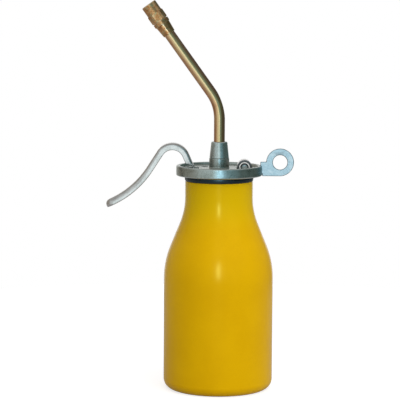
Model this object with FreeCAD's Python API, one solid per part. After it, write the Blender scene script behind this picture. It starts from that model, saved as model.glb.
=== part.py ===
import FreeCAD, Part

import math
import os

# Hand-pump oiler can: a round bottle, a die-cast pump head that screws into its neck,
# a pressed thumb lever, a bent spout with a screwed nozzle, and the pump inside.
# Origin: centre of the bottle's base. +Z up, the spout leans towards -X, -Y is the front.
# All sizes are in millimetres and degrees.

# ---------------------------------------------------------------- clearances
RUN = 0.05            # radial clearance of a shaft in a bore, a piston or a plug
SIDE = 0.4            # side clearance of the lever in its slots and between its ears
THREAD_GAP = 0.2      # radial gap between a thread and the part it screws into
REST_GAP = 0.4        # lever web below the head's floor at rest
PUSH_GAP = 0.12       # lever's pips above the thrust collar at rest

# ---------------------------------------------------------------- bottle
BOTTLE_HEIGHT = 130.0
BOTTLE_RADIUS = 33.8
BOTTLE_WALL = 1.6
BASE_CORNER = 6.0
NECK_RADIUS = 20.85
SHOULDER_Z = 79.7         # where the shoulder's cone would meet the straight body
NECK_Z = 111.6            # where the shoulder's cone would meet the neck
SHOULDER_ROUND = 53.1
NECK_ROUND = 42.3
MOUTH_ROUND = 0.5
PUSH_UP = 1.2             # height of the hollow in the base
FOOT_WIDTH = 6.0          # width of the ring that the bottle stands on

# ---------------------------------------------------------------- neck seal
SEAL_THICK = 3.4
SEAL_RADIUS = 21.35
SEAL_LIP = 0.3            # seal's bore beyond the bottle's bore
SEAL_ROUND = 1.0

# ---------------------------------------------------------------- head casting
HEAD_RADIUS = 26.6
HEAD_HEIGHT = 6.2
RIM_WALL = 2.5
RIM_ROUND = 0.8
FLOOR_DEPTH = 1.6         # from the rim's top down to the floor
FLOOR_THICK = 2.0
BOSS_RADIUS = 6.2
BOSS_TOP = 4.5            # above the rim's top
BOSS_FILLET = 0.8
SPIGOT_WALL = 0.9
SPIGOT_LENGTH = 4.8
ROD_WELL_GAP = 0.3        # radial room round the piston rod in the boss
SKIRT_LENGTH = 19.0       # from the head's underside
SKIRT_BORE = 15.2
THREAD_DEPTH = 0.8
THREAD_PITCH = 4.0
THREAD_RINGS = 3
THREAD_LAND = 1.2
THREAD_START = 6.6        # first thread ring below the head's underside
SPANNER_HOLE_RADIUS = 2.1
SPANNER_HOLE_X = -9.0
SPANNER_HOLE_Y = 10.0
EAR_THICK = 2.4
EAR_WIDTH = 3.6
SEAL_SHELF = 0.8          # metal left over the neck seal under the lever's slot
RIM_SKIN = 1.4            # rim left behind the lever's slot
SHANK_SLOT_END = 12.6     # inner end of the lever's slot, from the axis
SHANK_SLOT_DROP = 6.0     # how far the slot runs down through the skirt
EYE_SLOT_DROP = 1.5       # how far the eye's slot runs below the head's underside

# ---------------------------------------------------------------- hanging eye
EYE_REACH = 37.7          # ring centre from the head's axis
EYE_RADIUS = 8.55
EYE_HOLE_RADIUS = 4.5
EYE_THICK = 1.8
EYE_DROP = 0.25           # ring's lowest point below the head's underside
EYE_STEP_HEIGHT = 2.4     # top of the plate's step above the rim
EYE_STEP_WIDTH = 3.2
EYE_TONGUE = 2.1          # how far the tongue goes into the rim

# ---------------------------------------------------------------- thumb lever
LEVER_SHEET = 1.2
LEVER_WIDTH = 9.0
FLANGE_HEIGHT = 4.2       # from the web's outer face to the flange's edge
HINGE_X = 15.6
BUSH_RADIUS = 3.25
PIN_RADIUS = 1.1
CURL_TURN = 300.0         # how far the eye is rolled round its bush
ROOT_BEND = 3.5           # radius of the web's centre line
SHANK_LEAN = 23.3         # from upright
CREST_X = -28.94          # centre of the crest's arc
CREST_RISE = 2.75         # centre of the crest's arc above the rim
CREST_BEND = 10.5         # radius of the web's centre line
NECK_SLOPE = 57.3         # slope of the straight run behind the crest
NECK_RUN = 11.7
GRIP_BEND = 54.5
GRIP_TURN = 31.0
FLANGE_FADE_LOW = 0.5     # flange starts this far above the rim's top
FLANGE_FADE_HIGH = 2.6    # and has its full height this far above it
PAD_RADIUS = 8.5          # web's widened pad round the piston rod
ROD_HOLE_GAP = 0.6        # room beside the rod in the web's slot
ROD_HOLE_BACK = 1.3
ROD_HOLE_FRONT = 0.3
PIP_RADIUS = 2.0
PIP_SPREAD = 5.4

# ---------------------------------------------------------------- pump
CARRIER_THICK = 2.4
CARRIER_SEAT = 0.7        # step in the skirt that the carrier seats on
CARRIER_VENT_RADIUS = 1.5
CARRIER_VENT_PLACE = 12.6
CLIP_THICK = 1.0
CLIP_DEPTH = 0.8
CLIP_WIDTH = 2.0
CLIP_EDGE = 0.6           # skirt left below the clip
BARREL_BORE = 6.0
BARREL_WALL = 1.6
BARREL_LENGTH = 23.0      # below the carrier's top
BARREL_FLANGE_RADIUS = 10.0
BARREL_FLANGE_THICK = 1.5
BARREL_CAP_RADIUS = 9.0
BARREL_CAP_THICK = 2.0
BARREL_CAP_SPIGOT = 2.0
NUT_FLATS = 20.0
NUT_THICK = 4.0
ROD_RADIUS = 3.0
ROD_BORE = 1.5
ROD_TOP = 2.6             # rod's top above the rim's top at rest
ROD_SLOT = 1.0            # cross slot in the rod's lower end
COLLAR_RADIUS = 7.0
COLLAR_THICK = 1.3
COLLAR_DROP = 1.8         # collar's top below the web's underside
GLAND_WIDTH = 1.4         # from the rod to the gland's wall
GLAND_SEAL_THICK = 1.5
GLAND_WASHER_THICK = 0.9
SPRING_WIRE = 0.9
SPRING_RADIUS = 5.0       # to the wire's centre
SPRING_TURNS = 4.5
PISTON_GAP = 3.9          # piston's top below the barrel cap's spigot
PISTON_LENGTH = 8.0
PISTON_SLACK = 0.3
CUP_SEAL_DEPTH = 1.3
CUP_SEAL_THICK = 3.0
CUP_SEAL_PLACE = 2.0      # above the piston's lower face
BALL_RADIUS = 2.0
BALL_LIFT = 1.2
SEAT_BORE = 1.3
CHAMBER_RADIUS = 2.6
SEAT_THICK = 2.5
FOOT_SPIGOT = 5.0
FOOT_FLANGE = 2.0
NIPPLE_RADIUS = 3.0
NIPPLE_LENGTH = 9.0
KEEPER_RADIUS = 0.6
SUCTION_RADIUS = 4.0
SUCTION_END_Z = 7.0
SUCTION_CUT = 30.0        # slope of the tube's cut lower end

# ---------------------------------------------------------------- spout
SPOUT_NUT_HEIGHT = 10.3
SPOUT_NUT_LOW_WALL = 1.85  # round the boss's spigot
SPOUT_NUT_TOP_WALL = 1.55  # round the tube
SPOUT_NUT_ROUND = 0.6
SPOUT_SEAL_THICK = 0.8
SPOUT_SEAL_BORE = 2.5
TUBE_RADIUS = 3.4
TUBE_WALL = 0.8
TUBE_SOCKET = 3.8
SPOUT_BEND_Z = 177.4      # where the tube's two straight runs would meet
SPOUT_BEND = 30.0
SPOUT_LEAN = 35.8
SPOUT_REACH = 75.4        # from that meeting point to the nozzle's face

# ---------------------------------------------------------------- nozzle
NOZZLE_RADIUS = 4.85
NOZZLE_BARREL = 6.5       # length of the plain round front
NOZZLE_FLATS = 9.8
NOZZLE_CORNERS = 5.3
NOZZLE_HEX = 5.7
NOZZLE_ORIFICE = 0.75
NOZZLE_FACE = 4.3         # metal in front of the thread
NOZZLE_MOUTH = 2.2        # radius of the countersunk mouth
NOZZLE_ROUND = 0.5
ADAPTER_JOINT = 0.15
COLLAR_RING_RADIUS = 5.15
COLLAR_RING_LENGTH = 2.9
TAPER_LENGTH = 7.1
TAPER_FRONT_WALL = 1.2    # round the tube
TAPER_REAR_WALL = 0.55
ADAPTER_SPIGOT_RADIUS = 3.55
NOZZLE_SEAL_THICK = 0.8
NOZZLE_SEAL_BORE = 1.5
TUBE_STOP = 3.0           # tube's end behind the joint with the nozzle

# ---------------------------------------------------------------- derived heights
HEAD_Z = BOTTLE_HEIGHT + SEAL_THICK
RIM_Z = HEAD_Z + HEAD_HEIGHT
FLOOR_Z = RIM_Z - FLOOR_DEPTH
CEILING_Z = FLOOR_Z - FLOOR_THICK
BOSS_Z = RIM_Z + BOSS_TOP
SPIGOT_Z = BOSS_Z + SPIGOT_LENGTH
WEB_Z = CEILING_Z - REST_GAP - LEVER_SHEET / 2
CURL_RADIUS = BUSH_RADIUS + RUN + LEVER_SHEET / 2
HINGE_Z = WEB_Z + CURL_RADIUS
NECK_BORE = NECK_RADIUS - BOTTLE_WALL
SKIRT_RADIUS = NECK_BORE - THREAD_GAP
SKIRT_Z = HEAD_Z - SKIRT_LENGTH
CLIP_Z = SKIRT_Z + CLIP_EDGE
CARRIER_Z = CLIP_Z + CLIP_THICK
CARRIER_TOP = CARRIER_Z + CARRIER_THICK
CARRIER_RADIUS = SKIRT_BORE + CARRIER_SEAT - RUN
BARREL_RADIUS = BARREL_BORE + BARREL_WALL
BARREL_END_Z = CARRIER_TOP - BARREL_LENGTH
BARREL_FLANGE_Z = CARRIER_TOP + BARREL_FLANGE_THICK
BARREL_CAP_Z = BARREL_FLANGE_Z + BARREL_CAP_THICK
COLLAR_TOP = WEB_Z - LEVER_SHEET / 2 - COLLAR_DROP
COLLAR_Z = COLLAR_TOP - COLLAR_THICK
PISTON_TOP = BARREL_FLANGE_Z - BARREL_CAP_SPIGOT - PISTON_GAP
PISTON_Z = PISTON_TOP - PISTON_LENGTH
SLOT_HALF = LEVER_WIDTH / 2 + SIDE
ROD_END_Z = PISTON_Z + SEAT_THICK + 2 * BALL_RADIUS + BALL_LIFT

ROD_WELL_RADIUS = ROD_RADIUS + ROD_WELL_GAP
SPIGOT_RADIUS = ROD_WELL_RADIUS + SPIGOT_WALL
GLAND_RADIUS = ROD_RADIUS + GLAND_WIDTH
ROD_HOLE_RADIUS = ROD_RADIUS + ROD_HOLE_GAP

UP = FreeCAD.Vector(0, 0, 1)


# ---------------------------------------------------------------- helpers
def vec(x, y, z):
    return FreeCAD.Vector(x, y, z)


def rounded_wire(corners, place):
    """Closed wire through corners (a, b, fillet); place turns (a, b) into a point."""
    flat = [FreeCAD.Vector(c[0], c[1], 0) for c in corners]
    radii = [c[2] if len(c) > 2 else 0.0 for c in corners]
    count = len(flat)
    entry, middle, leave = [], [], []
    for i in range(count):
        here = flat[i]
        back = (flat[i - 1] - here).normalize()
        ahead = (flat[(i + 1) % count] - here).normalize()
        if radii[i] <= 0:
            entry.append(here)
            leave.append(here)
            middle.append(None)
            continue
        half = back.getAngle(ahead) / 2
        tangent = radii[i] / math.tan(half)
        bisector = (back + ahead).normalize()
        centre = here + bisector * (radii[i] / math.sin(half))
        entry.append(here + back * tangent)
        leave.append(here + ahead * tangent)
        middle.append(centre - bisector * radii[i])
    edges = []
    for i in range(count):
        if middle[i] is not None:
            arc = Part.Arc(place(entry[i]), place(middle[i]), place(leave[i]))
            edges.append(arc.toShape())
        start, end = leave[i], entry[(i + 1) % count]
        if start.distanceToPoint(end) > 1e-6:
            edges.append(Part.LineSegment(place(start), place(end)).toShape())
    return Part.Wire(Part.__sortEdges__(edges))


def turned(corners):
    """Solid of revolution about Z from corners (radius, height, fillet)."""
    wire = rounded_wire(corners, lambda p: vec(p.x, 0, p.y))
    return Part.Face(wire).revolve(vec(0, 0, 0), UP, 360)


def rod(radius, low, high, x=0.0, y=0.0):
    return Part.makeCylinder(radius, high - low, vec(x, y, low), UP)


def ring(bore, radius, low, high):
    return rod(radius, low, high).cut(rod(bore, low, high))


def cross_rod(radius, half, x, z):
    """Cylinder along Y, centred on the XZ plane."""
    return Part.makeCylinder(radius, 2 * half, vec(x, -half, z), vec(0, 1, 0))


def box(x, y, z):
    """Box between the pairs of limits x, y and z."""
    return Part.makeBox(x[1] - x[0], y[1] - y[0], z[1] - z[0], vec(x[0], y[0], z[0]))


def hexagon(flats, low, high):
    points = []
    for i in range(7):
        angle = math.radians(60 * i)
        reach = flats / 2 / math.cos(math.radians(30))
        points.append(vec(reach * math.cos(angle), reach * math.sin(angle), low))
    return Part.Face(Part.makePolygon(points)).extrude(UP * (high - low))


def slab(wire, half):
    """Extrude a wire in the XZ plane to y = -half .. +half."""
    solid = Part.Face(wire).extrude(vec(0, 2 * half, 0))
    solid.translate(vec(0, -half, 0))
    return solid


# ---------------------------------------------------------------- bottle and seal
def bottle_outline(inset):
    """Half outline from the base up, moved inwards by inset."""
    foot = BOTTLE_RADIUS - BASE_CORNER
    radius = BOTTLE_RADIUS - inset
    neck = NECK_RADIUS - inset
    lean = math.atan2(BOTTLE_RADIUS - NECK_RADIUS, NECK_Z - SHOULDER_Z)
    shift = inset * math.tan(lean / 2)
    lip = MOUTH_ROUND if inset == 0 else 0.0
    top = BOTTLE_HEIGHT + (0 if inset == 0 else 1.0)
    inner = foot - FOOT_WIDTH
    lift = PUSH_UP + inset
    return [
        (0, lift),
        (inner - PUSH_UP, lift, 1.0),
        (inner, inset, 0.5),
        (radius, inset, BASE_CORNER - inset),
        (radius, SHOULDER_Z - shift, SHOULDER_ROUND - inset),
        (neck, NECK_Z - shift, NECK_ROUND + inset),
        (neck, top, lip),
        (0, top),
    ]


def make_bottle():
    outer = turned(bottle_outline(0))
    return outer.cut(turned(bottle_outline(BOTTLE_WALL)))


def make_neck_seal():
    bore = NECK_BORE + SEAL_LIP
    return turned([
        (bore, BOTTLE_HEIGHT),
        (SEAL_RADIUS, BOTTLE_HEIGHT, SEAL_ROUND),
        (SEAL_RADIUS, HEAD_Z, SEAL_ROUND),
        (bore, HEAD_Z),
    ])


# ---------------------------------------------------------------- head casting
def head_blank():
    """Dish, boss, spigot and skirt as one turned solid."""
    well = FLOOR_Z - FLOOR_THICK
    counterbore = CARRIER_RADIUS + RUN
    root = SKIRT_RADIUS - THREAD_DEPTH
    return turned([
        (ROD_RADIUS + RUN, well + GLAND_SEAL_THICK + GLAND_WASHER_THICK),
        (GLAND_RADIUS, well + GLAND_SEAL_THICK + GLAND_WASHER_THICK),
        (GLAND_RADIUS, well),
        (SKIRT_BORE, well),
        (SKIRT_BORE, CARRIER_TOP),
        (counterbore, CARRIER_TOP),
        (counterbore, SKIRT_Z),
        (root, SKIRT_Z, 0.5),
        (root, HEAD_Z),
        (HEAD_RADIUS, HEAD_Z, RIM_ROUND),
        (HEAD_RADIUS, RIM_Z, RIM_ROUND),
        (HEAD_RADIUS - RIM_WALL, RIM_Z, RIM_ROUND),
        (HEAD_RADIUS - RIM_WALL, FLOOR_Z, BOSS_FILLET),
        (BOSS_RADIUS, FLOOR_Z, BOSS_FILLET),
        (BOSS_RADIUS, BOSS_Z),
        (SPIGOT_RADIUS, BOSS_Z),
        (SPIGOT_RADIUS, SPIGOT_Z),
        (ROD_WELL_RADIUS, SPIGOT_Z),
        (ROD_WELL_RADIUS, FLOOR_Z + BOSS_FILLET),
        (ROD_RADIUS + RUN, FLOOR_Z + BOSS_FILLET),
    ])


def thread_rings():
    """Screw thread of the skirt, drawn as plain rings on the thread's pitch."""
    rings = []
    for i in range(THREAD_RINGS):
        middle = HEAD_Z - THREAD_START - i * THREAD_PITCH
        low = middle - THREAD_LAND / 2
        rings.append(ring(SKIRT_BORE + CARRIER_SEAT + 1.2, SKIRT_RADIUS, low, low + THREAD_LAND))
    return rings


def lever_openings():
    """Slots for the lever's shank and eye, and the notch in the skirt below the shank."""
    width = (-SLOT_HALF, SLOT_HALF)
    shelf_z = HEAD_Z + SEAL_SHELF
    shank = box((RIM_SKIN - HEAD_RADIUS, -SHANK_SLOT_END), width, (shelf_z, RIM_Z + 1))
    well = box((-NECK_BORE, -SHANK_SLOT_END), width, (HEAD_Z - SHANK_SLOT_DROP, shelf_z + 0.1))
    reach = CURL_RADIUS + LEVER_SHEET / 2 + SIDE
    eye = box((HINGE_X - reach, HINGE_X + reach), width, (HEAD_Z - EYE_SLOT_DROP, FLOOR_Z + 1))
    return [shank, well, eye]


def hinge_ears():
    """Two upright ears beside the eye slot, rounded about the hinge pin."""
    ears = []
    half = EAR_WIDTH / 2
    for side in (-1, 1):
        inner = side * SLOT_HALF
        outer = side * (SLOT_HALF + EAR_THICK)
        span = (min(inner, outer), max(inner, outer))
        post = box((HINGE_X - half, HINGE_X + half), span, (CEILING_Z, HINGE_Z))
        cap = Part.makeCylinder(half, EAR_THICK, vec(HINGE_X, span[0], HINGE_Z), vec(0, 1, 0))
        ears.append(post.fuse(cap))
    return ears


def make_head_cap():
    head = head_blank().fuse(thread_rings() + hinge_ears())
    cuts = lever_openings()
    for side in (-1, 1):
        place = vec(side * SPANNER_HOLE_X, side * SPANNER_HOLE_Y, CEILING_Z - 1)
        cuts.append(Part.makeCylinder(SPANNER_HOLE_RADIUS, FLOOR_THICK + 2, place, UP))
    ear_reach = SLOT_HALF + EAR_THICK + 1
    cuts.append(cross_rod(PIN_RADIUS + RUN / 5, ear_reach, HINGE_X, HINGE_Z))
    slot = EYE_THICK / 2 + RUN
    tongue_x = HEAD_RADIUS - EYE_TONGUE
    cuts.append(box((tongue_x - RUN, HEAD_RADIUS + 1), (-slot, slot), (tongue_low() - RUN, RIM_Z + 1)))
    groove = CARRIER_RADIUS + RUN + CLIP_DEPTH
    cuts.append(rod(groove, CLIP_Z, CARRIER_Z))
    return head.cut(cuts).removeSplitter()


# ---------------------------------------------------------------- hanging eye
def tongue_low():
    return HEAD_Z + EYE_STEP_HEIGHT / 2


def make_hanging_eye():
    centre_z = HEAD_Z - EYE_DROP + EYE_RADIUS
    tongue_x = HEAD_RADIUS - EYE_TONGUE
    step_z = RIM_Z + EYE_STEP_HEIGHT
    step_x = HEAD_RADIUS - 0.3
    arm = [
        (tongue_x, tongue_low()),
        (HEAD_RADIUS + RUN, tongue_low()),
        (HEAD_RADIUS + RUN, HEAD_Z - EYE_DROP),
        (EYE_REACH, HEAD_Z - EYE_DROP),
        (EYE_REACH, step_z),
        (step_x, step_z, 0.4),
        (step_x, RIM_Z + RUN),
        (tongue_x, RIM_Z + RUN),
    ]
    plate = slab(rounded_wire(arm, lambda p: vec(p.x, 0, p.y)), EYE_THICK / 2)
    disc = cross_rod(EYE_RADIUS, EYE_THICK / 2, EYE_REACH, centre_z)
    step_end = step_x + EYE_STEP_WIDTH
    above = box((step_end, EYE_REACH), (-EYE_THICK, EYE_THICK), (centre_z, step_z + 1)).cut(disc)
    hole = cross_rod(EYE_HOLE_RADIUS, EYE_THICK, EYE_REACH, centre_z)
    return plate.cut(above).fuse(disc).cut(hole).removeSplitter()


# ---------------------------------------------------------------- thumb lever
class SheetPath:
    """Centre line of a bent strip in the XZ plane: straight runs and arcs, tangent to each other."""

    def __init__(self, x, z, heading):
        self.runs = []
        self.x, self.z, self.heading = x, z, heading
        self.length = 0.0

    def line(self, length):
        self.runs.append((self.x, self.z, self.heading, 0.0, length, self.length))
        angle = math.radians(self.heading)
        self.x += length * math.cos(angle)
        self.z += length * math.sin(angle)
        self.length += length
        return self

    def arc(self, radius, turn):
        """Arc that turns left for a positive turn and right for a negative one."""
        length = radius * math.radians(abs(turn))
        signed = radius if turn > 0 else -radius
        self.runs.append((self.x, self.z, self.heading, signed, length, self.length))
        start = math.radians(self.heading - 90)
        centre_x = self.x - signed * math.cos(start)
        centre_z = self.z - signed * math.sin(start)
        self.heading += turn
        end = math.radians(self.heading - 90)
        self.x = centre_x + signed * math.cos(end)
        self.z = centre_z + signed * math.sin(end)
        self.length += length
        return self

    def point(self, run, along, offset):
        """Point at a distance along a run, moved to its left by offset."""
        x, z, heading, radius, _, _ = run
        if radius == 0.0:
            angle = math.radians(heading)
            px = x + along * math.cos(angle)
            pz = z + along * math.sin(angle)
        else:
            start = math.radians(heading - 90)
            end = start + along / radius
            px = x - radius * math.cos(start) + radius * math.cos(end)
            pz = z - radius * math.sin(start) + radius * math.sin(end)
            angle = end + math.radians(90)
        return vec(px - offset * math.sin(angle), 0, pz + offset * math.cos(angle))

    def edges(self, offset, begin=0.0, end=None):
        """Edges of the line at this offset between two distances along the path."""
        end = self.length if end is None else end
        result = []
        for run in self.runs:
            low = max(begin - run[5], 0.0)
            high = min(end - run[5], run[4])
            if high - low < 1e-6:
                continue
            first = self.point(run, low, offset)
            last = self.point(run, high, offset)
            if run[3] == 0.0:
                result.append(Part.LineSegment(first, last).toShape())
            else:
                middle = self.point(run, (low + high) / 2, offset)
                result.append(Part.Arc(first, middle, last).toShape())
        return result

    def band(self, near, far, begin=0.0, far_begin=None, end=None):
        """Closed wire between two offsets; the far side may start later than the near one."""
        far_begin = begin if far_begin is None else far_begin
        first = self.edges(near, begin, end)
        second = self.edges(far, far_begin, end)
        caps = [
            Part.LineSegment(first[0].Vertexes[0].Point, second[0].Vertexes[0].Point).toShape(),
            Part.LineSegment(first[-1].Vertexes[-1].Point, second[-1].Vertexes[-1].Point).toShape(),
        ]
        return Part.Wire(Part.__sortEdges__(first + second + caps))


def lever_path():
    """From below the hinge, under the floor, up the shank, over the crest and down the grip."""
    lean = math.radians(SHANK_LEAN)
    crest_z = RIM_Z + CREST_RISE
    top_x = CREST_X + CREST_BEND * math.cos(lean)
    top_z = crest_z + CREST_BEND * math.sin(lean)
    shank = (top_z - WEB_Z) / math.cos(lean)
    foot_x = top_x + shank * math.sin(lean)
    root_turn = 90 - SHANK_LEAN
    trim = ROOT_BEND * math.tan(math.radians(root_turn / 2))
    path = SheetPath(HINGE_X, WEB_Z, 180)
    path.line(HINGE_X - foot_x - trim)
    path.arc(ROOT_BEND, -root_turn)
    path.line(shank - trim)
    path.arc(CREST_BEND, 90 - SHANK_LEAN + NECK_SLOPE)
    path.line(NECK_RUN)
    path.arc(GRIP_BEND, -GRIP_TURN)
    return path


def shank_place(path, height):
    """Distance along the path at which the shank passes a height."""
    run = path.runs[2]
    return run[5] + (height - run[1]) / math.cos(math.radians(SHANK_LEAN))


def lever_curl():
    """Eye rolled up from the web round the hinge bush."""
    outer = CURL_RADIUS + LEVER_SHEET / 2
    inner = CURL_RADIUS - LEVER_SHEET / 2
    half = LEVER_WIDTH / 2
    start = math.radians(-90)
    end = start + math.radians(CURL_TURN)

    def spot(radius, angle):
        return vec(HINGE_X + radius * math.cos(angle), 0, HINGE_Z + radius * math.sin(angle))

    middle = (start + end) / 2
    edges = [
        Part.Arc(spot(outer, start), spot(outer, middle), spot(outer, end)).toShape(),
        Part.Arc(spot(inner, start), spot(inner, middle), spot(inner, end)).toShape(),
        Part.LineSegment(spot(outer, start), spot(inner, start)).toShape(),
        Part.LineSegment(spot(outer, end), spot(inner, end)).toShape(),
    ]
    return slab(Part.Wire(Part.__sortEdges__(edges)), half)


def lever_tip(path):
    """Rounded end of the grip, with the flange carried round it."""
    half = LEVER_WIDTH / 2
    edge = FLANGE_HEIGHT - LEVER_SHEET / 2
    low = -LEVER_SHEET / 2
    cup = rod(half, low, edge).cut(rod(half - LEVER_SHEET, -low, edge + 1))
    cup = cup.common(box((0, half), (-half, half), (low, edge)))
    # local X runs along the grip and local Z towards the flanges' edges
    angle = math.radians(path.heading)
    along = vec(math.cos(angle), 0, math.sin(angle))
    inward = vec(-math.sin(angle), 0, math.cos(angle))
    side = inward.cross(along)
    matrix = FreeCAD.Matrix(
        along.x, side.x, inward.x, path.x,
        along.y, side.y, inward.y, 0,
        along.z, side.z, inward.z, path.z,
        0, 0, 0, 1,
    )
    return cup.transformGeometry(matrix)


def make_thumb_lever():
    path = lever_path()
    half = LEVER_WIDTH / 2
    skin = LEVER_SHEET / 2
    web = slab(path.band(-skin, skin), half)
    fade_low = shank_place(path, RIM_Z + FLANGE_FADE_LOW)
    fade_high = shank_place(path, RIM_Z + FLANGE_FADE_HIGH)
    edge = FLANGE_HEIGHT - skin
    flange = slab(path.band(0.0, edge, fade_low, fade_high), half)
    hollow = slab(path.band(skin, edge + 1, fade_low - 1, fade_high - 1), half - LEVER_SHEET)
    flanges = flange.cut(hollow)
    pad = rod(PAD_RADIUS, WEB_Z - skin, WEB_Z + skin)
    pips = []
    for side in (-1, 1):
        centre = vec(0, side * PIP_SPREAD, COLLAR_TOP + PUSH_GAP + PIP_RADIUS)
        ball = Part.makeSphere(PIP_RADIUS, centre)
        pips.append(ball.common(rod(PAD_RADIUS, COLLAR_TOP, WEB_Z)))
    lever = web.fuse([flanges, lever_curl(), lever_tip(path), pad] + pips)
    low, high = WEB_Z - 2, WEB_Z + 2
    hole = rod(ROD_HOLE_RADIUS, low, high, -ROD_HOLE_BACK)
    hole = hole.fuse(rod(ROD_HOLE_RADIUS, low, high, ROD_HOLE_FRONT))
    hole = hole.fuse(box((-ROD_HOLE_BACK, ROD_HOLE_FRONT), (-ROD_HOLE_RADIUS, ROD_HOLE_RADIUS), (low, high)))
    return lever.cut(hole).removeSplitter()


def make_lever_bush():
    half = LEVER_WIDTH / 2 + SIDE / 2
    return cross_rod(BUSH_RADIUS, half, HINGE_X, HINGE_Z).cut(cross_rod(PIN_RADIUS + RUN, half, HINGE_X, HINGE_Z))


def make_hinge_pin():
    return cross_rod(PIN_RADIUS, SLOT_HALF + EAR_THICK, HINGE_X, HINGE_Z)


# ---------------------------------------------------------------- pump, fixed parts
def make_pump_carrier():
    plate = ring(BARREL_RADIUS + RUN, CARRIER_RADIUS, CARRIER_Z, CARRIER_TOP)
    vents = []
    for side in (-1, 1):
        vents.append(rod(CARRIER_VENT_RADIUS, CARRIER_Z, CARRIER_TOP, 0, side * CARRIER_VENT_PLACE))
    return plate.cut(vents)


def make_carrier_clip():
    outer = CARRIER_RADIUS + RUN + CLIP_DEPTH - RUN
    clip = ring(outer - CLIP_WIDTH - CLIP_DEPTH, outer, CLIP_Z, CARRIER_Z)
    gap = box((0, outer + 1), (-2.0, 2.0), (CLIP_Z, CARRIER_Z))
    return clip.cut(gap)


def make_pump_barrel():
    return turned([
        (BARREL_BORE, BARREL_END_Z),
        (BARREL_RADIUS, BARREL_END_Z),
        (BARREL_RADIUS, CARRIER_TOP),
        (BARREL_FLANGE_RADIUS, CARRIER_TOP),
        (BARREL_FLANGE_RADIUS, BARREL_FLANGE_Z),
        (BARREL_BORE, BARREL_FLANGE_Z),
    ])


def make_barrel_nut():
    low = CARRIER_Z - NUT_THICK
    return hexagon(NUT_FLATS, low, CARRIER_Z).cut(rod(BARREL_RADIUS + RUN, low, CARRIER_Z))


def make_barrel_cap():
    spigot_z = BARREL_FLANGE_Z - BARREL_CAP_SPIGOT
    return turned([
        (ROD_RADIUS + RUN, spigot_z),
        (BARREL_BORE - RUN, spigot_z),
        (BARREL_BORE - RUN, BARREL_FLANGE_Z),
        (BARREL_CAP_RADIUS, BARREL_FLANGE_Z),
        (BARREL_CAP_RADIUS, BARREL_CAP_Z),
        (ROD_RADIUS + RUN, BARREL_CAP_Z),
    ])


def make_rod_seal():
    low = CEILING_Z + GLAND_WASHER_THICK
    return ring(ROD_RADIUS + RUN, GLAND_RADIUS - RUN, low, low + GLAND_SEAL_THICK)


def make_seal_washer():
    return ring(ROD_RADIUS + 2 * RUN, GLAND_RADIUS - RUN, CEILING_Z, CEILING_Z + GLAND_WASHER_THICK)


def make_return_spring():
    """A round-wire spring, bent half a turn at a time."""
    wire = SPRING_WIRE / 2
    low, high = BARREL_CAP_Z + wire, COLLAR_Z - wire
    halves = round(2 * SPRING_TURNS)
    rise = (high - low) / halves

    def on_coil(half_turns):
        angle = math.pi * half_turns
        across, along = SPRING_RADIUS * math.cos(angle), SPRING_RADIUS * math.sin(angle)
        return vec(across, along, low + rise * half_turns)

    bends = [
        Part.Arc(on_coil(half), on_coil(half + 0.5), on_coil(half + 1)).toShape()
        for half in range(halves)
    ]
    heading = vec(0, math.pi * SPRING_RADIUS, rise)
    section = Part.Wire(Part.makeCircle(wire, on_coil(0), heading))
    return Part.Wire(bends).makePipeShell([section], True, False)


def foot_heights():
    """Heights of the foot valve: spigot top, ball seat, flange top, flange underside."""
    flange_low = BARREL_END_Z - FOOT_FLANGE
    top = BARREL_END_Z + FOOT_SPIGOT
    seat = top - KEEPER_RADIUS * 2 - 0.5 - BALL_LIFT - 2 * BALL_RADIUS
    return top, seat, BARREL_END_Z, flange_low


def seat_rest(seat):
    """Centre height of a ball that rests on a seat bore's edge."""
    return seat + math.sqrt(BALL_RADIUS ** 2 - SEAT_BORE ** 2)


def make_foot_valve():
    top, seat, flange, flange_low = foot_heights()
    nipple_z = flange_low - NIPPLE_LENGTH
    body = turned([
        (SEAT_BORE, nipple_z),
        (NIPPLE_RADIUS, nipple_z, 0.4),
        (NIPPLE_RADIUS, flange_low),
        (BARREL_RADIUS, flange_low),
        (BARREL_RADIUS, flange),
        (BARREL_BORE - RUN, flange),
        (BARREL_BORE - RUN, top),
        (CHAMBER_RADIUS, top),
        (CHAMBER_RADIUS, seat),
        (SEAT_BORE, seat),
    ])
    return body.cut(keeper_rod(RUN / 5))


def keeper_rod(extra):
    """Cross pin over the inlet ball; extra widens it into its hole."""
    _, seat, _, _ = foot_heights()
    centre = seat_rest(seat) + BALL_RADIUS + BALL_LIFT + KEEPER_RADIUS
    return cross_rod(KEEPER_RADIUS + extra, BARREL_BORE - RUN + extra, 0, centre)


def make_inlet_keeper():
    return keeper_rod(0).common(rod(BARREL_BORE - 2 * RUN, BARREL_END_Z, CARRIER_TOP))


def make_inlet_ball():
    _, seat, _, _ = foot_heights()
    return Part.makeSphere(BALL_RADIUS, vec(0, 0, seat_rest(seat)))


def make_suction_tube():
    top = foot_heights()[3]
    tube = ring(NIPPLE_RADIUS + RUN, SUCTION_RADIUS, SUCTION_END_Z, top)
    wedge = box((-20, 20), (-20, 20), (-40, 0))
    wedge.rotate(vec(0, 0, 0), vec(0, 1, 0), SUCTION_CUT)
    wedge.translate(vec(0, 0, SUCTION_END_Z + SUCTION_RADIUS * math.tan(math.radians(SUCTION_CUT))))
    return tube.cut(wedge)


# ---------------------------------------------------------------- pump, moving parts
def make_piston_rod():
    top = RIM_Z + ROD_TOP
    tube = ring(ROD_BORE, ROD_RADIUS, ROD_END_Z, top)
    slot = box((-ROD_RADIUS, ROD_RADIUS), (-ROD_SLOT / 2, ROD_SLOT / 2), (ROD_END_Z, ROD_END_Z + ROD_SLOT))
    return tube.cut(slot)


def make_thrust_collar():
    return ring(ROD_RADIUS + RUN / 5, COLLAR_RADIUS, COLLAR_Z, COLLAR_TOP)


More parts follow.
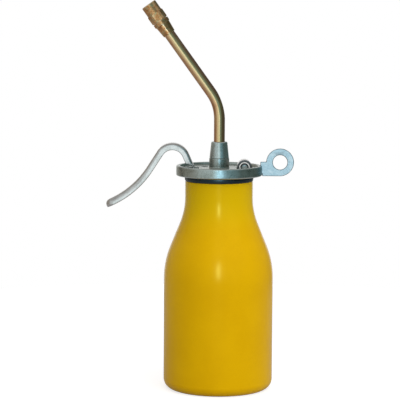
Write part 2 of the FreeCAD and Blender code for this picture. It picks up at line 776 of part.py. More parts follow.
def make_piston():
    radius = BARREL_BORE - PISTON_SLACK
    groove = BARREL_BORE - CUP_SEAL_DEPTH
    low = PISTON_Z + CUP_SEAL_PLACE
    seat = PISTON_Z + SEAT_THICK
    return turned([
        (SEAT_BORE, PISTON_Z),
        (radius, PISTON_Z, 0.4),
        (radius, low),
        (groove, low),
        (groove, low + CUP_SEAL_THICK),
        (radius, low + CUP_SEAL_THICK),
        (radius, PISTON_TOP, 0.4),
        (ROD_RADIUS + RUN / 5, PISTON_TOP),
        (ROD_RADIUS + RUN / 5, ROD_END_Z),
        (CHAMBER_RADIUS, ROD_END_Z),
        (CHAMBER_RADIUS, seat),
        (SEAT_BORE, seat),
    ])


def make_piston_seal():
    low = PISTON_Z + CUP_SEAL_PLACE
    bore = BARREL_BORE - CUP_SEAL_DEPTH + RUN
    return ring(bore, BARREL_BORE - RUN, low + RUN, low + CUP_SEAL_THICK - RUN)


def make_outlet_ball():
    return Part.makeSphere(BALL_RADIUS, vec(0, 0, seat_rest(PISTON_Z + SEAT_THICK)))


# ---------------------------------------------------------------- spout
def make_spout_seal():
    return ring(SPOUT_SEAL_BORE, SPIGOT_RADIUS, SPIGOT_Z, SPIGOT_Z + SPOUT_SEAL_THICK)


def make_spout_nut():
    top = BOSS_Z + SPOUT_NUT_HEIGHT
    shoulder = SPIGOT_Z + SPOUT_SEAL_THICK
    bore = SPIGOT_RADIUS + RUN
    return turned([
        (bore, BOSS_Z),
        (SPIGOT_RADIUS + SPOUT_NUT_LOW_WALL, BOSS_Z, 0.25),
        (TUBE_RADIUS + SPOUT_NUT_TOP_WALL, top, SPOUT_NUT_ROUND),
        (TUBE_RADIUS + RUN / 5, top),
        (TUBE_RADIUS + RUN / 5, top - TUBE_SOCKET),
        (SPOUT_SEAL_BORE, top - TUBE_SOCKET),
        (SPOUT_SEAL_BORE, shoulder),
        (bore, shoulder),
    ])


def along_spout(shape):
    """Move a shape built along Z onto the spout's leaning end, with z = 0 at the bend."""
    shape.rotate(vec(0, 0, 0), vec(0, 1, 0), -SPOUT_LEAN)
    shape.translate(vec(0, 0, SPOUT_BEND_Z))
    return shape


def nozzle_joint():
    """Distance from the bend's meeting point to the joint between adapter and nozzle."""
    return SPOUT_REACH - NOZZLE_BARREL - NOZZLE_HEX


def make_spout_tube():
    start = BOSS_Z + SPOUT_NUT_HEIGHT - TUBE_SOCKET
    trim = SPOUT_BEND * math.tan(math.radians(SPOUT_LEAN / 2))
    bore = TUBE_RADIUS - TUBE_WALL
    low = ring(bore, TUBE_RADIUS, start, SPOUT_BEND_Z - trim)
    place = vec(0, 0, SPOUT_BEND_Z - trim)
    outer = Part.Face(Part.Wire(Part.makeCircle(TUBE_RADIUS, place, UP)))
    inner = Part.Face(Part.Wire(Part.makeCircle(bore, place, UP)))
    centre = vec(-SPOUT_BEND, 0, SPOUT_BEND_Z - trim)
    bend = outer.cut(inner).revolve(centre, vec(0, -1, 0), SPOUT_LEAN)
    high = along_spout(ring(bore, TUBE_RADIUS, trim, nozzle_joint() - TUBE_STOP))
    return low.fuse([bend, high]).removeSplitter()


def make_nozzle_adapter():
    joint = nozzle_joint() - ADAPTER_JOINT
    collar = joint - COLLAR_RING_LENGTH
    rear = collar - TAPER_LENGTH
    bore = TUBE_RADIUS + RUN / 5
    front = SPOUT_REACH - NOZZLE_FACE - NOZZLE_SEAL_THICK
    return along_spout(turned([
        (bore, rear),
        (TUBE_RADIUS + TAPER_REAR_WALL, rear, 0.3),
        (TUBE_RADIUS + TAPER_FRONT_WALL, collar),
        (COLLAR_RING_RADIUS, collar, 0.3),
        (COLLAR_RING_RADIUS, joint, 0.3),
        (ADAPTER_SPIGOT_RADIUS, joint),
        (ADAPTER_SPIGOT_RADIUS, front, 0.4),
        (NOZZLE_SEAL_BORE, front),
        (NOZZLE_SEAL_BORE, nozzle_joint() - TUBE_STOP),
        (bore, nozzle_joint() - TUBE_STOP),
    ]))


def make_nozzle_seal():
    front = SPOUT_REACH - NOZZLE_FACE
    return along_spout(ring(NOZZLE_SEAL_BORE, ADAPTER_SPIGOT_RADIUS, front - NOZZLE_SEAL_THICK, front))


def make_nozzle_cap():
    joint = nozzle_joint()
    thread = ADAPTER_SPIGOT_RADIUS + RUN
    inner = SPOUT_REACH - NOZZLE_FACE
    barrel_z = SPOUT_REACH - NOZZLE_BARREL
    round_blank = turned([
        (0, joint),
        (NOZZLE_CORNERS, joint, 0.4),
        (NOZZLE_CORNERS, barrel_z, 0.4),
        (NOZZLE_RADIUS, barrel_z),
        (NOZZLE_RADIUS, SPOUT_REACH, NOZZLE_ROUND),
        (0, SPOUT_REACH),
    ])
    envelope = hexagon(NOZZLE_FLATS, joint, barrel_z).fuse(rod(NOZZLE_RADIUS, barrel_z, SPOUT_REACH))
    mouth_depth = NOZZLE_MOUTH - NOZZLE_ORIFICE
    mouth = Part.makeCone(
        NOZZLE_ORIFICE, NOZZLE_MOUTH, mouth_depth, vec(0, 0, SPOUT_REACH - mouth_depth), UP
    )
    holes = [rod(thread, joint, inner), rod(NOZZLE_ORIFICE, inner, SPOUT_REACH), mouth]
    return along_spout(round_blank.common(envelope).cut(holes).removeSplitter())


# ---------------------------------------------------------------- output
NODES = {
    "bottle": make_bottle,
    "neck_seal": make_neck_seal,
    "head_cap": make_head_cap,
    "hanging_eye": make_hanging_eye,
    "hinge_pin": make_hinge_pin,
    "lever_bush": make_lever_bush,
    "thumb_lever": make_thumb_lever,
    "pump_carrier": make_pump_carrier,
    "carrier_clip": make_carrier_clip,
    "pump_barrel": make_pump_barrel,
    "barrel_nut": make_barrel_nut,
    "barrel_cap": make_barrel_cap,
    "rod_seal": make_rod_seal,
    "seal_washer": make_seal_washer,
    "return_spring": make_return_spring,
    "foot_valve": make_foot_valve,
    "inlet_keeper": make_inlet_keeper,
    "inlet_ball": make_inlet_ball,
    "suction_tube": make_suction_tube,
    "piston_rod": make_piston_rod,
    "thrust_collar": make_thrust_collar,
    "piston": make_piston,
    "piston_seal": make_piston_seal,
    "outlet_ball": make_outlet_ball,
    "spout_seal": make_spout_seal,
    "spout_nut": make_spout_nut,
    "spout_tube": make_spout_tube,
    "nozzle_adapter": make_nozzle_adapter,
    "nozzle_seal": make_nozzle_seal,
    "nozzle_cap": make_nozzle_cap,
}


def main():
    os.makedirs("parts", exist_ok=True)
    for name, make in NODES.items():
        shape = make()
        shape.exportStep("parts/" + name + ".step")
        box_ = shape.BoundBox
        print(
            f"{name:16s} solids {len(shape.Solids)} valid {shape.isValid()} volume {shape.Volume:9.1f} "
            f"x {box_.XMin:7.2f} {box_.XMax:7.2f} z {box_.ZMin:7.2f} {box_.ZMax:7.2f}"
        )


main()
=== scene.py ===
"""Looks of a hand-pump oiler can, built piece by piece around its CAD frame.

The can stands on the ground plane at the origin: +Z is up, the spout leans towards -X and
-Y is the front. Sizes in the classes are millimetres; meshes are made in metres.
"""
import logging
import math
from dataclasses import dataclass, field
from enum import Enum
from typing import Any, Callable, Iterable, Mapping, Optional, Sequence, Union

import bmesh
import bpy
from mathutils import Matrix, Vector


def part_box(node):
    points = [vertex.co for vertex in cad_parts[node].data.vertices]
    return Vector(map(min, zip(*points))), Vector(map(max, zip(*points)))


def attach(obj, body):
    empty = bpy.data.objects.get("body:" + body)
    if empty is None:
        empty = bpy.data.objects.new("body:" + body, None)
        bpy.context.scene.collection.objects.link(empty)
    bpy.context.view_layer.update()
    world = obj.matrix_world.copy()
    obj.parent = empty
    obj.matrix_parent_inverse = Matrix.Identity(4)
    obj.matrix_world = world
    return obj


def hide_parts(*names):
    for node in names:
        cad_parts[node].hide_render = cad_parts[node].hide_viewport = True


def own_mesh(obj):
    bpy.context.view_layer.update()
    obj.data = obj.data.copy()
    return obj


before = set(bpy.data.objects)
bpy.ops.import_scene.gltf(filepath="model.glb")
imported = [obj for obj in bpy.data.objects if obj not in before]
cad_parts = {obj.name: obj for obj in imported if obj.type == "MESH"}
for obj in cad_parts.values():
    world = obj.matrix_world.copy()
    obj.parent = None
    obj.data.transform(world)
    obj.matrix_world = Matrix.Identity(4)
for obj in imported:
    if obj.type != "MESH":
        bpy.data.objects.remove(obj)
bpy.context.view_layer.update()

LOG = logging.getLogger("oiler_can")
MM = 0.001
Colour = tuple[float, float, float]
Spot = tuple[float, float]
Value = Union["Signal", float]


def box_mm(node: str) -> tuple[Vector, Vector]:
    """Give the lowest and highest corner of a CAD node in millimetres."""
    low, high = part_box(node)
    return low / MM, high / MM


# ------------------------------------------------------------------ shader recipes
class Signal:
    """A shader socket that can stand in a Python expression."""

    def __init__(self, recipe: "Recipe", socket: bpy.types.NodeSocket) -> None:
        """Wrap a socket of a recipe's node tree."""
        self.recipe = recipe
        self.socket = socket

    def _math(self, operation: str, first: Value, second: Value) -> "Signal":
        """Add a Math node that works on two values."""
        return self.recipe.node("ShaderNodeMath", {"operation": operation}, {0: first, 1: second})

    def __add__(self, other: Value) -> "Signal":
        """Add."""
        return self._math("ADD", self, other)

    __radd__ = __add__

    def __sub__(self, other: Value) -> "Signal":
        """Subtract."""
        return self._math("SUBTRACT", self, other)

    def __rsub__(self, other: Value) -> "Signal":
        """Subtract from a number."""
        return self._math("SUBTRACT", other, self)

    def __mul__(self, other: Value) -> "Signal":
        """Multiply."""
        return self._math("MULTIPLY", self, other)

    __rmul__ = __mul__

    def __pow__(self, other: Value) -> "Signal":
        """Raise to a power."""
        return self._math("POWER", self, other)

    def peak(self, other: Value) -> "Signal":
        """Give the larger of two values."""
        return self._math("MAXIMUM", self, other)

    def ramp(self, low: float, high: float, start: float = 0.0, end: float = 1.0) -> "Signal":
        """Map low..high smoothly onto start..end.

        Args:
            low: Value that gives start.
            high: Value that gives end.
            start: Result at and before low.
            end: Result at and after high.

        Returns:
            The mapped signal.
        """
        if low > high:
            low, high, start, end = high, low, end, start
        settings = {"interpolation_type": "SMOOTHSTEP"}
        sockets = {"Value": self, "From Min": low, "From Max": high, "To Min": start, "To Max": end}
        return self.recipe.node("ShaderNodeMapRange", settings, sockets)


class Recipe:
    """Node tree of one material or of the world."""

    def __init__(self, owner: Union[bpy.types.Material, bpy.types.World]) -> None:
        """Start with an empty tree.

        Args:
            owner: The material or world that the tree belongs to.
        """
        owner.use_nodes = True
        self.tree = owner.node_tree
        self.tree.nodes.clear()

    def node(
        self,
        kind: str,
        settings: Optional[Mapping[str, Any]] = None,
        sockets: Optional[Mapping[Union[str, int], Any]] = None,
        output: Union[str, int, None] = 0,
    ) -> Optional[Signal]:
        """Add one node.

        Args:
            kind: Blender's node type.
            settings: Node properties, set before the sockets. "stops" fills a colour ramp.
            sockets: Values or signals for the node's inputs.
            output: The output to hand back, or None for a node that ends the tree.

        Returns:
            The chosen output as a signal.
        """
        made = self.tree.nodes.new(kind)
        for key, value in (settings or {}).items():
            if key == "stops":
                ends = made.color_ramp.elements
                for number, (place, colour) in enumerate(value):
                    stop = ends[number] if number < 2 else ends.new(place)
                    stop.position = place
                    stop.color = (*colour, 1.0)
            else:
                setattr(made, key, value)
        for key, value in (sockets or {}).items():
            if isinstance(value, Signal):
                self.tree.links.new(value.socket, made.inputs[key])
            elif isinstance(value, tuple) and made.inputs[key].type == "RGBA":
                made.inputs[key].default_value = (*value, 1.0)
            else:
                made.inputs[key].default_value = value
        return None if output is None else Signal(self, made.outputs[output])

    def mix(self, share: Value, first: Any, second: Any) -> Signal:
        """Mix two colours by a share of the second."""
        settings = {"data_type": "RGBA"}
        return self.node("ShaderNodeMix", settings, {0: share, 6: first, 7: second}, 2)

    def places(self, stretch: Sequence[float] = (1.0, 1.0, 1.0), lean: float = 0.0) -> Signal:
        """Give the point on the object in millimetres.

        Args:
            stretch: Factors on the turned axes.
            lean: Degrees that the Z axis is turned towards -X first.

        Returns:
            The point as a vector signal.
        """
        point = self.node("ShaderNodeTexCoord", output="Object")
        turn = (0.0, math.radians(lean), 0.0)
        upright = self.node("ShaderNodeMapping", None, {"Vector": point, "Rotation": turn})
        scale = tuple(share / MM for share in stretch)
        return self.node("ShaderNodeMapping", None, {"Vector": upright, "Scale": scale})

    def noise(self, where: Signal, size: float, detail: float = 3.0, rough: float = 0.5) -> Signal:
        """Give noise between 0 and 1 with features of a size in millimetres."""
        sockets = {"Vector": where, "Scale": 1.0 / size, "Detail": detail, "Roughness": rough}
        return self.node("ShaderNodeTexNoise", None, sockets)

    def bump(self, height: Signal, depth: float, below: Optional[Signal] = None) -> Signal:
        """Turn a height into a normal.

        Args:
            height: Height between 0 and 1.
            depth: Depth in millimetres that a height of 1 stands for.
            below: A coarser normal that this one lies on.

        Returns:
            The normal.
        """
        sockets: dict[Union[str, int], Any] = {"Height": height, "Strength": 1.0, "Distance": depth * MM}
        if below is not None:
            sockets["Normal"] = below
        return self.node("ShaderNodeBump", None, sockets)

    def mark(self, name: str) -> Signal:
        """Give a mark that was stored on the mesh."""
        return self.node("ShaderNodeAttribute", {"attribute_name": name}, output="Fac")

    def axis(self, where: Signal, number: int) -> Signal:
        """Give one coordinate of a point: 0, 1 or 2 for X, Y or Z."""
        return self.node("ShaderNodeSeparateXYZ", None, {0: where}, number)

    def surface(self, sockets: Mapping[Union[str, int], Any]) -> None:
        """End the tree in a Principled surface with these sockets."""
        shader = self.node("ShaderNodeBsdfPrincipled", None, sockets)
        self.node("ShaderNodeOutputMaterial", None, {"Surface": shader}, None)


def new_recipe(name: str) -> tuple[bpy.types.Material, Recipe]:
    """Make an empty material and its recipe."""
    material = bpy.data.materials.new(name)
    return material, Recipe(material)


EDGE_MARK = "edge_mark"  # how tightly a point bends outwards, from 0 to 1
CUT_MARK = "cut_mark"  # 1 on faces left by a shear


# ------------------------------------------------------------------ finishes
class Grain(Enum):
    """How a metal piece was made, as the stretch of its grain on X, Y and Z."""

    CAST = (1.0, 1.0, 1.0)
    ROLLED = (1.0, 0.25, 1.0)
    TURNED = (0.04, 0.04, 1.0)


@dataclass(frozen=True)
class MetalFinish:
    """A metal surface with patches and grain; its outward edges take the edge colour, as wear where it is
    pale and as painted shade where it is dark.

    The leaned Z axis follows a piece that lies askew. Where dull_from is set, the surface is
    rougher and its grain is at full depth beyond that place along the axis, in millimetres.
    """

    name: str
    light: Colour
    dark: Colour
    patch: Colour
    # Edge colour: pale for wear, dark for painted shade along outlines.
    edge: Colour
    shine: tuple[float, float] = (0.25, 0.4)  # least and greatest roughness
    grain: Grain = Grain.CAST
    grain_size: float = 0.5
    grain_depth: float = 0.02
    cloud_size: float = 7.0
    patch_share: float = 0.25
    lean: float = 0.0
    # Painted shade for the faces with the cut mark.
    cut: Optional[Colour] = None
    dull_from: Optional[float] = None
    dull_blend: float = 0.3
    dull_rise: float = 0.1
    fine_share: float = 0.25

    def material(self) -> bpy.types.Material:
        """Build the material.

        Returns:
            The material, named for its slot.
        """
        material, recipe = new_recipe(self.name)
        where = recipe.places(lean=self.lean)
        clouds = recipe.noise(where, self.cloud_size, 4.0, 0.6)
        specks = recipe.noise(where, self.grain_size * 1.6, 2.0, 0.6)
        grain = recipe.noise(recipe.places(self.grain.value, self.lean), self.grain_size, 3.0, 0.6)
        spread = recipe.noise(recipe.places((0.7, 1.1, 0.9), self.lean), self.cloud_size * 0.6, 5.0, 0.65)
        tone = (clouds * 0.6 + specks * 0.4).ramp(0.36, 0.64)
        body = recipe.mix(tone, self.dark, self.light)
        patches = spread.ramp(0.5, 0.62) * self.patch_share
        stained = recipe.mix(patches, body, self.patch)
        # Outward edges take the edge colour: wear where it is pale, painted shade where it is dark (eye
        # plate, lever).
        edge_tint = recipe.mix(recipe.mark(EDGE_MARK) * (0.45 + grain * 0.5), stained, self.edge)
        # Faces with the cut mark are painted nearly black: painted shade on the rolled eye's sides.
        if self.cut:
            edge_tint = recipe.mix(recipe.mark(CUT_MARK), edge_tint, self.cut)
        low, high = self.shine
        rough = (grain * 0.5 + clouds * 0.5).ramp(0.3, 0.7, low, high)
        if self.dull_from:
            start, end = self.dull_from - self.dull_blend, self.dull_from + self.dull_blend
            dull = recipe.axis(where, 2).ramp(start, end)
            rough = rough + dull * self.dull_rise
            grain = grain * (dull * (1.0 - self.fine_share) + self.fine_share)
        recipe.surface({
            "Base Color": edge_tint,
            "Metallic": 1.0,
            "Roughness": rough,
            "Normal": recipe.bump(grain, self.grain_depth),
        })
        return material


@dataclass(frozen=True)
class TubeFinish:
    """Yellow passivated steel tube, whose colour runs across it from left to right: the film's own hues, with
    painted shade darkening both sides, most of all the right.
    """

    name: str
    film_and_shade_tones: tuple[Colour, Colour, Colour, Colour, Colour]
    stain: Colour
    lean: float
    bend_height: float
    radius: float
    shine: tuple[float, float] = (0.16, 0.26)  # least and greatest roughness
    band: float = 16.0
    stops: tuple[float, ...] = (0.06, 0.3, 0.5, 0.68, 0.93)  # places of the tones across the tube

    def across(self, recipe: Recipe) -> Signal:
        """Give the place across the bent tube.

        Args:
            recipe: Node tree of the tube's material.

        Returns:
            0 on the side that the tube bends towards, 1 on the other.
        """
        point = recipe.node("ShaderNodeTexCoord", output="Object")
        x, z = recipe.axis(point, 0), recipe.axis(point, 2)
        angle = math.radians(self.lean)
        leaning = x * math.cos(angle) + (z - self.bend_height * MM) * math.sin(angle)
        return x.peak(leaning) * (0.5 / (self.radius * MM)) + 0.5

    def material(self) -> bpy.types.Material:
        """Build the material.

        Returns:
            The material, named for its slot.
        """
        material, recipe = new_recipe(self.name)
        film = recipe.noise(recipe.places((1.6, 1.6, 0.55)), self.band, 3.0, 0.55)
        spots = recipe.noise(recipe.places(), 1.1, 3.0, 0.6)
        draw_marks = recipe.noise(recipe.places((1.0, 1.0, 0.05)), 0.35, 3.0, 0.6)
        # Painted shade: the ramp across the tube darkens both sides, most of all the right, over the film's
        # hues.
        place = self.across(recipe) + (film - 0.5) * 0.34 + (spots - 0.5) * 0.16
        stops = list(zip(self.stops, self.film_and_shade_tones))
        colour = recipe.node("ShaderNodeValToRGB", {"stops": stops}, {0: place})
        stained = recipe.mix(film.ramp(0.52, 0.68) * 0.6, colour, self.stain)
        low, high = self.shine
        recipe.surface({
            "Base Color": stained,
            "Metallic": 1.0,
            "Roughness": draw_marks.ramp(0.3, 0.7, low, high),
            "Normal": recipe.bump(draw_marks, 0.006),
        })
        return material


@dataclass(frozen=True)
class PlasticFinish:
    """Moulded plastic or rubber with soft waves and a fine skin.

    Where a neck tone is set, the colour turns to it over the given heights: painted shade of the translucent
    neck under the head.
    """

    name: str
    light: Colour
    dark: Colour
    shine: tuple[float, float] = (0.34, 0.44)  # least and greatest roughness
    cloud_size: float = 22.0
    skin_size: float = 0.35
    skin_depth: float = 0.012
    wave_size: float = 9.0
    wave_depth: float = 0.05
    edge_tint: float = 0.25
    gloss: float = 0.5
    sheen_tone: Colour = (1.0, 1.0, 1.0)
    clear: float = 0.0
    neck_shade_tone: Optional[Colour] = None
    neck_shade_zone: tuple[float, float] = (95.0, 120.0)

    def material(self) -> bpy.types.Material:
        """Build the material.

        Returns:
            The material, named for its slot.
        """
        material, recipe = new_recipe(self.name)
        where = recipe.places()
        clouds = recipe.noise(where, self.cloud_size, 4.0, 0.55)
        specks = recipe.noise(where, self.skin_size * 3.0, 2.0, 0.5)
        skin = recipe.noise(where, self.skin_size, 2.0, 0.5)
        waves = recipe.noise(recipe.places((1.0, 1.0, 0.4)), self.wave_size, 1.0, 0.4)
        tone = (clouds * 0.75 + specks * 0.25).ramp(0.35, 0.65)
        body = recipe.mix(tone, self.dark, self.light)
        # Painted shade: the neck turns greener and darker, as the translucent plastic does in the head's
        # shadow.
        if self.neck_shade_tone:
            body = recipe.mix(recipe.axis(where, 2).ramp(*self.neck_shade_zone), body, self.neck_shade_tone)
        pale = tuple(min(1.0, share * 1.25 + 0.02) for share in self.light)
        worn = recipe.mix(recipe.mark(EDGE_MARK) * self.edge_tint, body, pale)
        low, high = self.shine
        sockets: dict[Union[str, int], Any] = {
            "Base Color": worn,
            "Roughness": clouds.ramp(0.3, 0.7, low, high),
            "Specular IOR Level": self.gloss,
            "Specular Tint": self.sheen_tone,
            "Normal": recipe.bump(skin, self.skin_depth, recipe.bump(waves, self.wave_depth)),
        }
        if self.clear:
            sockets["Transmission Weight"] = self.clear
        recipe.surface(sockets)
        return material


@dataclass(frozen=True)
class BushFinish:
    """Pale moulded bush, with painted shade in a disc round its pin for the shadowed gap there."""

    name: str
    rim: Colour
    painted_shade: Colour
    axis: Spot
    shade_radius: float = 2.65
    shade_blend: float = 0.1
    dirt_and_shade_size: float = 0.7

    def material(self) -> bpy.types.Material:
        """Build the material.

        Returns:
            The material, named for its slot.
        """
        material, recipe = new_recipe(self.name)
        where = recipe.places()
        x = recipe.axis(where, 0) - self.axis[0]
        z = recipe.axis(where, 2) - self.axis[1]
        radius = (x * x + z * z) ** 0.5
        dirt_and_shade_noise = recipe.noise(where, self.dirt_and_shade_size, 3.0, 0.6)
        # Painted shade: the disc round the pin takes the dark colour, and the noise wobbles its edge.
        outer, inner = self.shade_radius + self.shade_blend, self.shade_radius - self.shade_blend
        dark = (radius + (dirt_and_shade_noise - 0.5) * 0.5).ramp(outer, inner)
        recipe.surface({
            "Base Color": recipe.mix(dark, self.rim, self.painted_shade),
            "Roughness": dirt_and_shade_noise.ramp(0.3, 0.7, 0.3, 0.45),
            "Normal": recipe.bump(dirt_and_shade_noise, 0.01),
        })
        return material


# ------------------------------------------------------------------ mesh shop
def rounded(corners: Sequence[Sequence[float]], step: float = 12.0, chord: float = 1.6) -> list[Spot]:
    """Round the corners of a closed outline.

    Args:
        corners: (across, up) or (across, up, fillet radius) for each corner.
        step: Largest turn of one facet, in degrees.
        chord: Longest facet of a fillet, in millimetres.

    Returns:
        The points of the outline.
    """
    points: list[Spot] = []
    count = len(corners)
    for number, corner in enumerate(corners):
        here = Vector(corner[:2])
        radius = corner[2] if len(corner) > 2 else 0.0
        if radius <= 0.0:
            points.append((here.x, here.y))
            continue
        back = (Vector(corners[number - 1][:2]) - here).normalized()
        ahead = (Vector(corners[(number + 1) % count][:2]) - here).normalized()
        half = back.angle(ahead) / 2
        centre = here + (back + ahead).normalized() * (radius / math.sin(half))
        first = here + back * (radius / math.tan(half)) - centre
        last = here + ahead * (radius / math.tan(half)) - centre
        turn = math.pi - 2 * half
        facets = max(2, math.ceil(max(math.degrees(turn) / step, radius * turn / chord)))
        sign = 1.0 if first.x * last.y - first.y * last.x > 0 else -1.0
        for facet in range(facets + 1):
            angle = sign * turn * facet / facets
            across = first.x * math.cos(angle) - first.y * math.sin(angle)
            along = first.x * math.sin(angle) + first.y * math.cos(angle)
            points.append((centre.x + across, centre.y + along))
    return points


def arc(centre: Spot, radius: float, start: float, end: float, facets: int) -> list[Spot]:
    """Give evenly spaced points on an arc.

    Args:
        centre: Centre of the arc.
        radius: Its radius.
        start: Angle of the first point, in degrees.
        end: Angle of the last point, in degrees.
        facets: Number of steps between them.

    Returns:
        One point more than there are steps.
    """
    spots = []
    for number in range(facets + 1):
        angle = math.radians(start + (end - start) * number / facets)
        spots.append((centre[0] + radius * math.cos(angle), centre[1] + radius * math.sin(angle)))
    return spots


def bore_outline(centre: Spot, radius: float) -> list[Spot]:
    """Give a closed round outline of 24 points."""
    return arc(centre, radius, 0, 345, 23)


def even_angles(count: int) -> list[float]:
    """Give evenly spaced angles of a full turn, in radians."""
    return [2 * math.pi * number / count for number in range(count)]


def limited(value: float) -> float:
    """Keep a number between 0 and 1."""
    return min(1.0, max(0.0, value))


def join_rings(
    made: bmesh.types.BMesh, rings: Sequence[Sequence[bmesh.types.BMVert]], around: bool = True
) -> None:
    """Join a row of equally long rings with faces.

    Args:
        made: The mesh that holds the rings.
        rings: The rings' points, in order.
        around: Whether each ring's last point joins its first.
    """
    for one, two in zip(rings, rings[1:]):
        for number in range(len(one) if around else len(one) - 1):
            after = (number + 1) % len(one)
            made.faces.new((one[number], one[after], two[after], two[number]))


class Workpiece:
    """A mesh object under work, in the frame's axes."""

    LEVEL = 0.5  # faces that turn by less than this many degrees become one
    CLOSEST = 0.15  # least distance between two faces' centres, in millimetres
    FLAT = 0.25  # outward bend, in radians per millimetre, at which an edge starts to count
    TIGHT = 0.9  # how much more bend gives a full mark

    def __init__(self, name: str, made: bmesh.types.BMesh) -> None:
        """Turn a bmesh into an object in metres.

        Args:
            name: Name of the object.
            made: Its mesh in millimetres, which is used up.
        """
        bmesh.ops.remove_doubles(made, verts=made.verts, dist=1e-5)
        bmesh.ops.dissolve_degenerate(made, edges=made.edges, dist=1e-6)
        bmesh.ops.recalc_face_normals(made, faces=made.faces)
        bmesh.ops.scale(made, vec=(MM, MM, MM), verts=made.verts)
        mesh = bpy.data.meshes.new(name)
        made.to_mesh(mesh)
        made.free()
        self.object = bpy.data.objects.new(name, mesh)
        bpy.context.scene.collection.objects.link(self.object)

    @classmethod
    def from_loops(cls, name: str, loops: Sequence[Sequence[Vector]], closed: bool = False) -> "Workpiece":
        """Skin a row of equally long closed loops.

        Args:
            name: Name of the object.
            loops: Rings of points in millimetres.
            closed: Whether the last loop joins the first; otherwise both ends are capped.

        Returns:
            The skinned workpiece.
        """
        made = bmesh.new()
        rings = [[made.verts.new(point) for point in loop] for loop in loops]
        join_rings(made, rings + rings[:1] if closed else rings)
        if not closed:
            made.faces.new(rings[0])
            made.faces.new(rings[-1])
        return cls(name, made)

    @classmethod
    def turned(
        cls,
        name: str,
        outline: Sequence[Spot],
        angles: Sequence[float],
        relief: Optional[Callable[[float, float, float], float]] = None,
    ) -> "Workpiece":
        """Turn a closed outline about Z.

        Args:
            name: Name of the object.
            outline: (radius, height) points.
            angles: Angles of the facets, in radians.
            relief: Change of radius for an angle, a radius and a height.

        Returns:
            The turned workpiece.
        """
        loops = []
        for angle in angles:
            loop = []
            for radius, height in outline:
                reach = radius + (relief(angle, radius, height) if relief else 0.0)
                loop.append(Vector((reach * math.cos(angle), reach * math.sin(angle), height)))
            loops.append(loop)
        return cls.from_loops(name, loops, closed=True)

    @classmethod
    def slab(
        cls, name: str, outline: Sequence[Spot], low: float, high: float, along: str = "Z"
    ) -> "Workpiece":
        """Extrude an outline: in XY along Z, or in XZ along Y.

        Args:
            name: Name of the object.
            outline: The corners of the outline.
            low: Where the slab starts on its axis.
            high: Where it ends.
            along: The axis, "Z" or "Y".

        Returns:
            The slab.
        """
        made = bmesh.new()
        ends = []
        for level in (low, high):
            if along == "Z":
                ends.append([made.verts.new((a, b, level)) for a, b in outline])
            else:
                ends.append([made.verts.new((a, level, b)) for a, b in outline])
        join_rings(made, ends)
        made.faces.new(ends[0])
        made.faces.new(ends[1])
        return cls(name, made)

    def moved(self, place: Matrix) -> "Workpiece":
        """Move the mesh.

        Args:
            place: The move, in millimetres.

        Returns:
            The same workpiece.
        """
        scaled = place.copy()
        scaled.translation = place.translation * MM
        self.object.data.transform(scaled)
        return self

    def bake(self) -> "Workpiece":
        """Apply the modifiers to the mesh.

        Returns:
            The same workpiece.
        """
        graph = bpy.context.evaluated_depsgraph_get()
        graph.update()
        mesh = bpy.data.meshes.new_from_object(self.object.evaluated_get(graph))
        old = self.object.data
        self.object.modifiers.clear()
        self.object.data = mesh
        bpy.data.meshes.remove(old)
        return self

    def combine(self, operation: str, tools: Iterable["Workpiece"]) -> "Workpiece":
        """Cut, join or trim the piece with tools, which are used up.

        Args:
            operation: DIFFERENCE, UNION or INTERSECT.
            tools: The other workpieces.

        Returns:
            The same workpiece.
        """
        for tool in tools:
            change = self.object.modifiers.new(operation.lower(), "BOOLEAN")
            change.operation = operation
            change.solver = "EXACT"
            change.object = tool.object
            self.bake()
            bpy.data.objects.remove(tool.object)
        return self

    def soften(
        self, width: float, segments: int = 2, angle: float = 40.0, clamp: bool = True
    ) -> "Workpiece":
        """Round the sharp edges.

        Args:
            width: Width of the rounding, in millimetres.
            segments: Number of facets across it.
            angle: Edges that turn by more than this many degrees are rounded.
            clamp: Whether the width is held back where edges are close together.

        Returns:
            The same workpiece.
        """
        made = bmesh.new()
        made.from_mesh(self.object.data)
        bmesh.ops.dissolve_limit(
            made, angle_limit=math.radians(self.LEVEL), verts=made.verts, edges=made.edges
        )
        made.to_mesh(self.object.data)
        made.free()
        bevel = self.object.modifiers.new("edges", "BEVEL")
        bevel.width = width * MM
        bevel.segments = segments
        bevel.limit_method = "ANGLE"
        bevel.angle_limit = math.radians(angle)
        bevel.use_clamp_overlap = clamp
        return self.bake()

    def shade(self, angle: float = 35.0) -> "Workpiece":
        """Shade the mesh smoothly and mark its outer edges.

        Args:
            angle: Edges that turn by more than this many degrees stay sharp.

        Returns:
            The same workpiece.
        """
        mesh = self.object.data
        for face in mesh.polygons:
            face.use_smooth = True
        mesh.set_sharp_from_angle(angle=math.radians(angle))
        self._mark_edges()
        weighted = self.object.modifiers.new("normals", "WEIGHTED_NORMAL")
        weighted.keep_sharp = True
        return self.bake()

    def mark_faces(self, name: str, chooses: Callable[[Vector, Vector], float]) -> "Workpiece":
        """Store a value on each face.

        Args:
            name: Name of the mark.
            chooses: Gives the value for a face's centre in millimetres and its normal.

        Returns:
            The same workpiece.
        """
        mesh = self.object.data
        marks = mesh.attributes.new(name, "FLOAT", "FACE")
        values = [chooses(face.center / MM, face.normal) for face in mesh.polygons]
        marks.data.foreach_set("value", values)
        return self

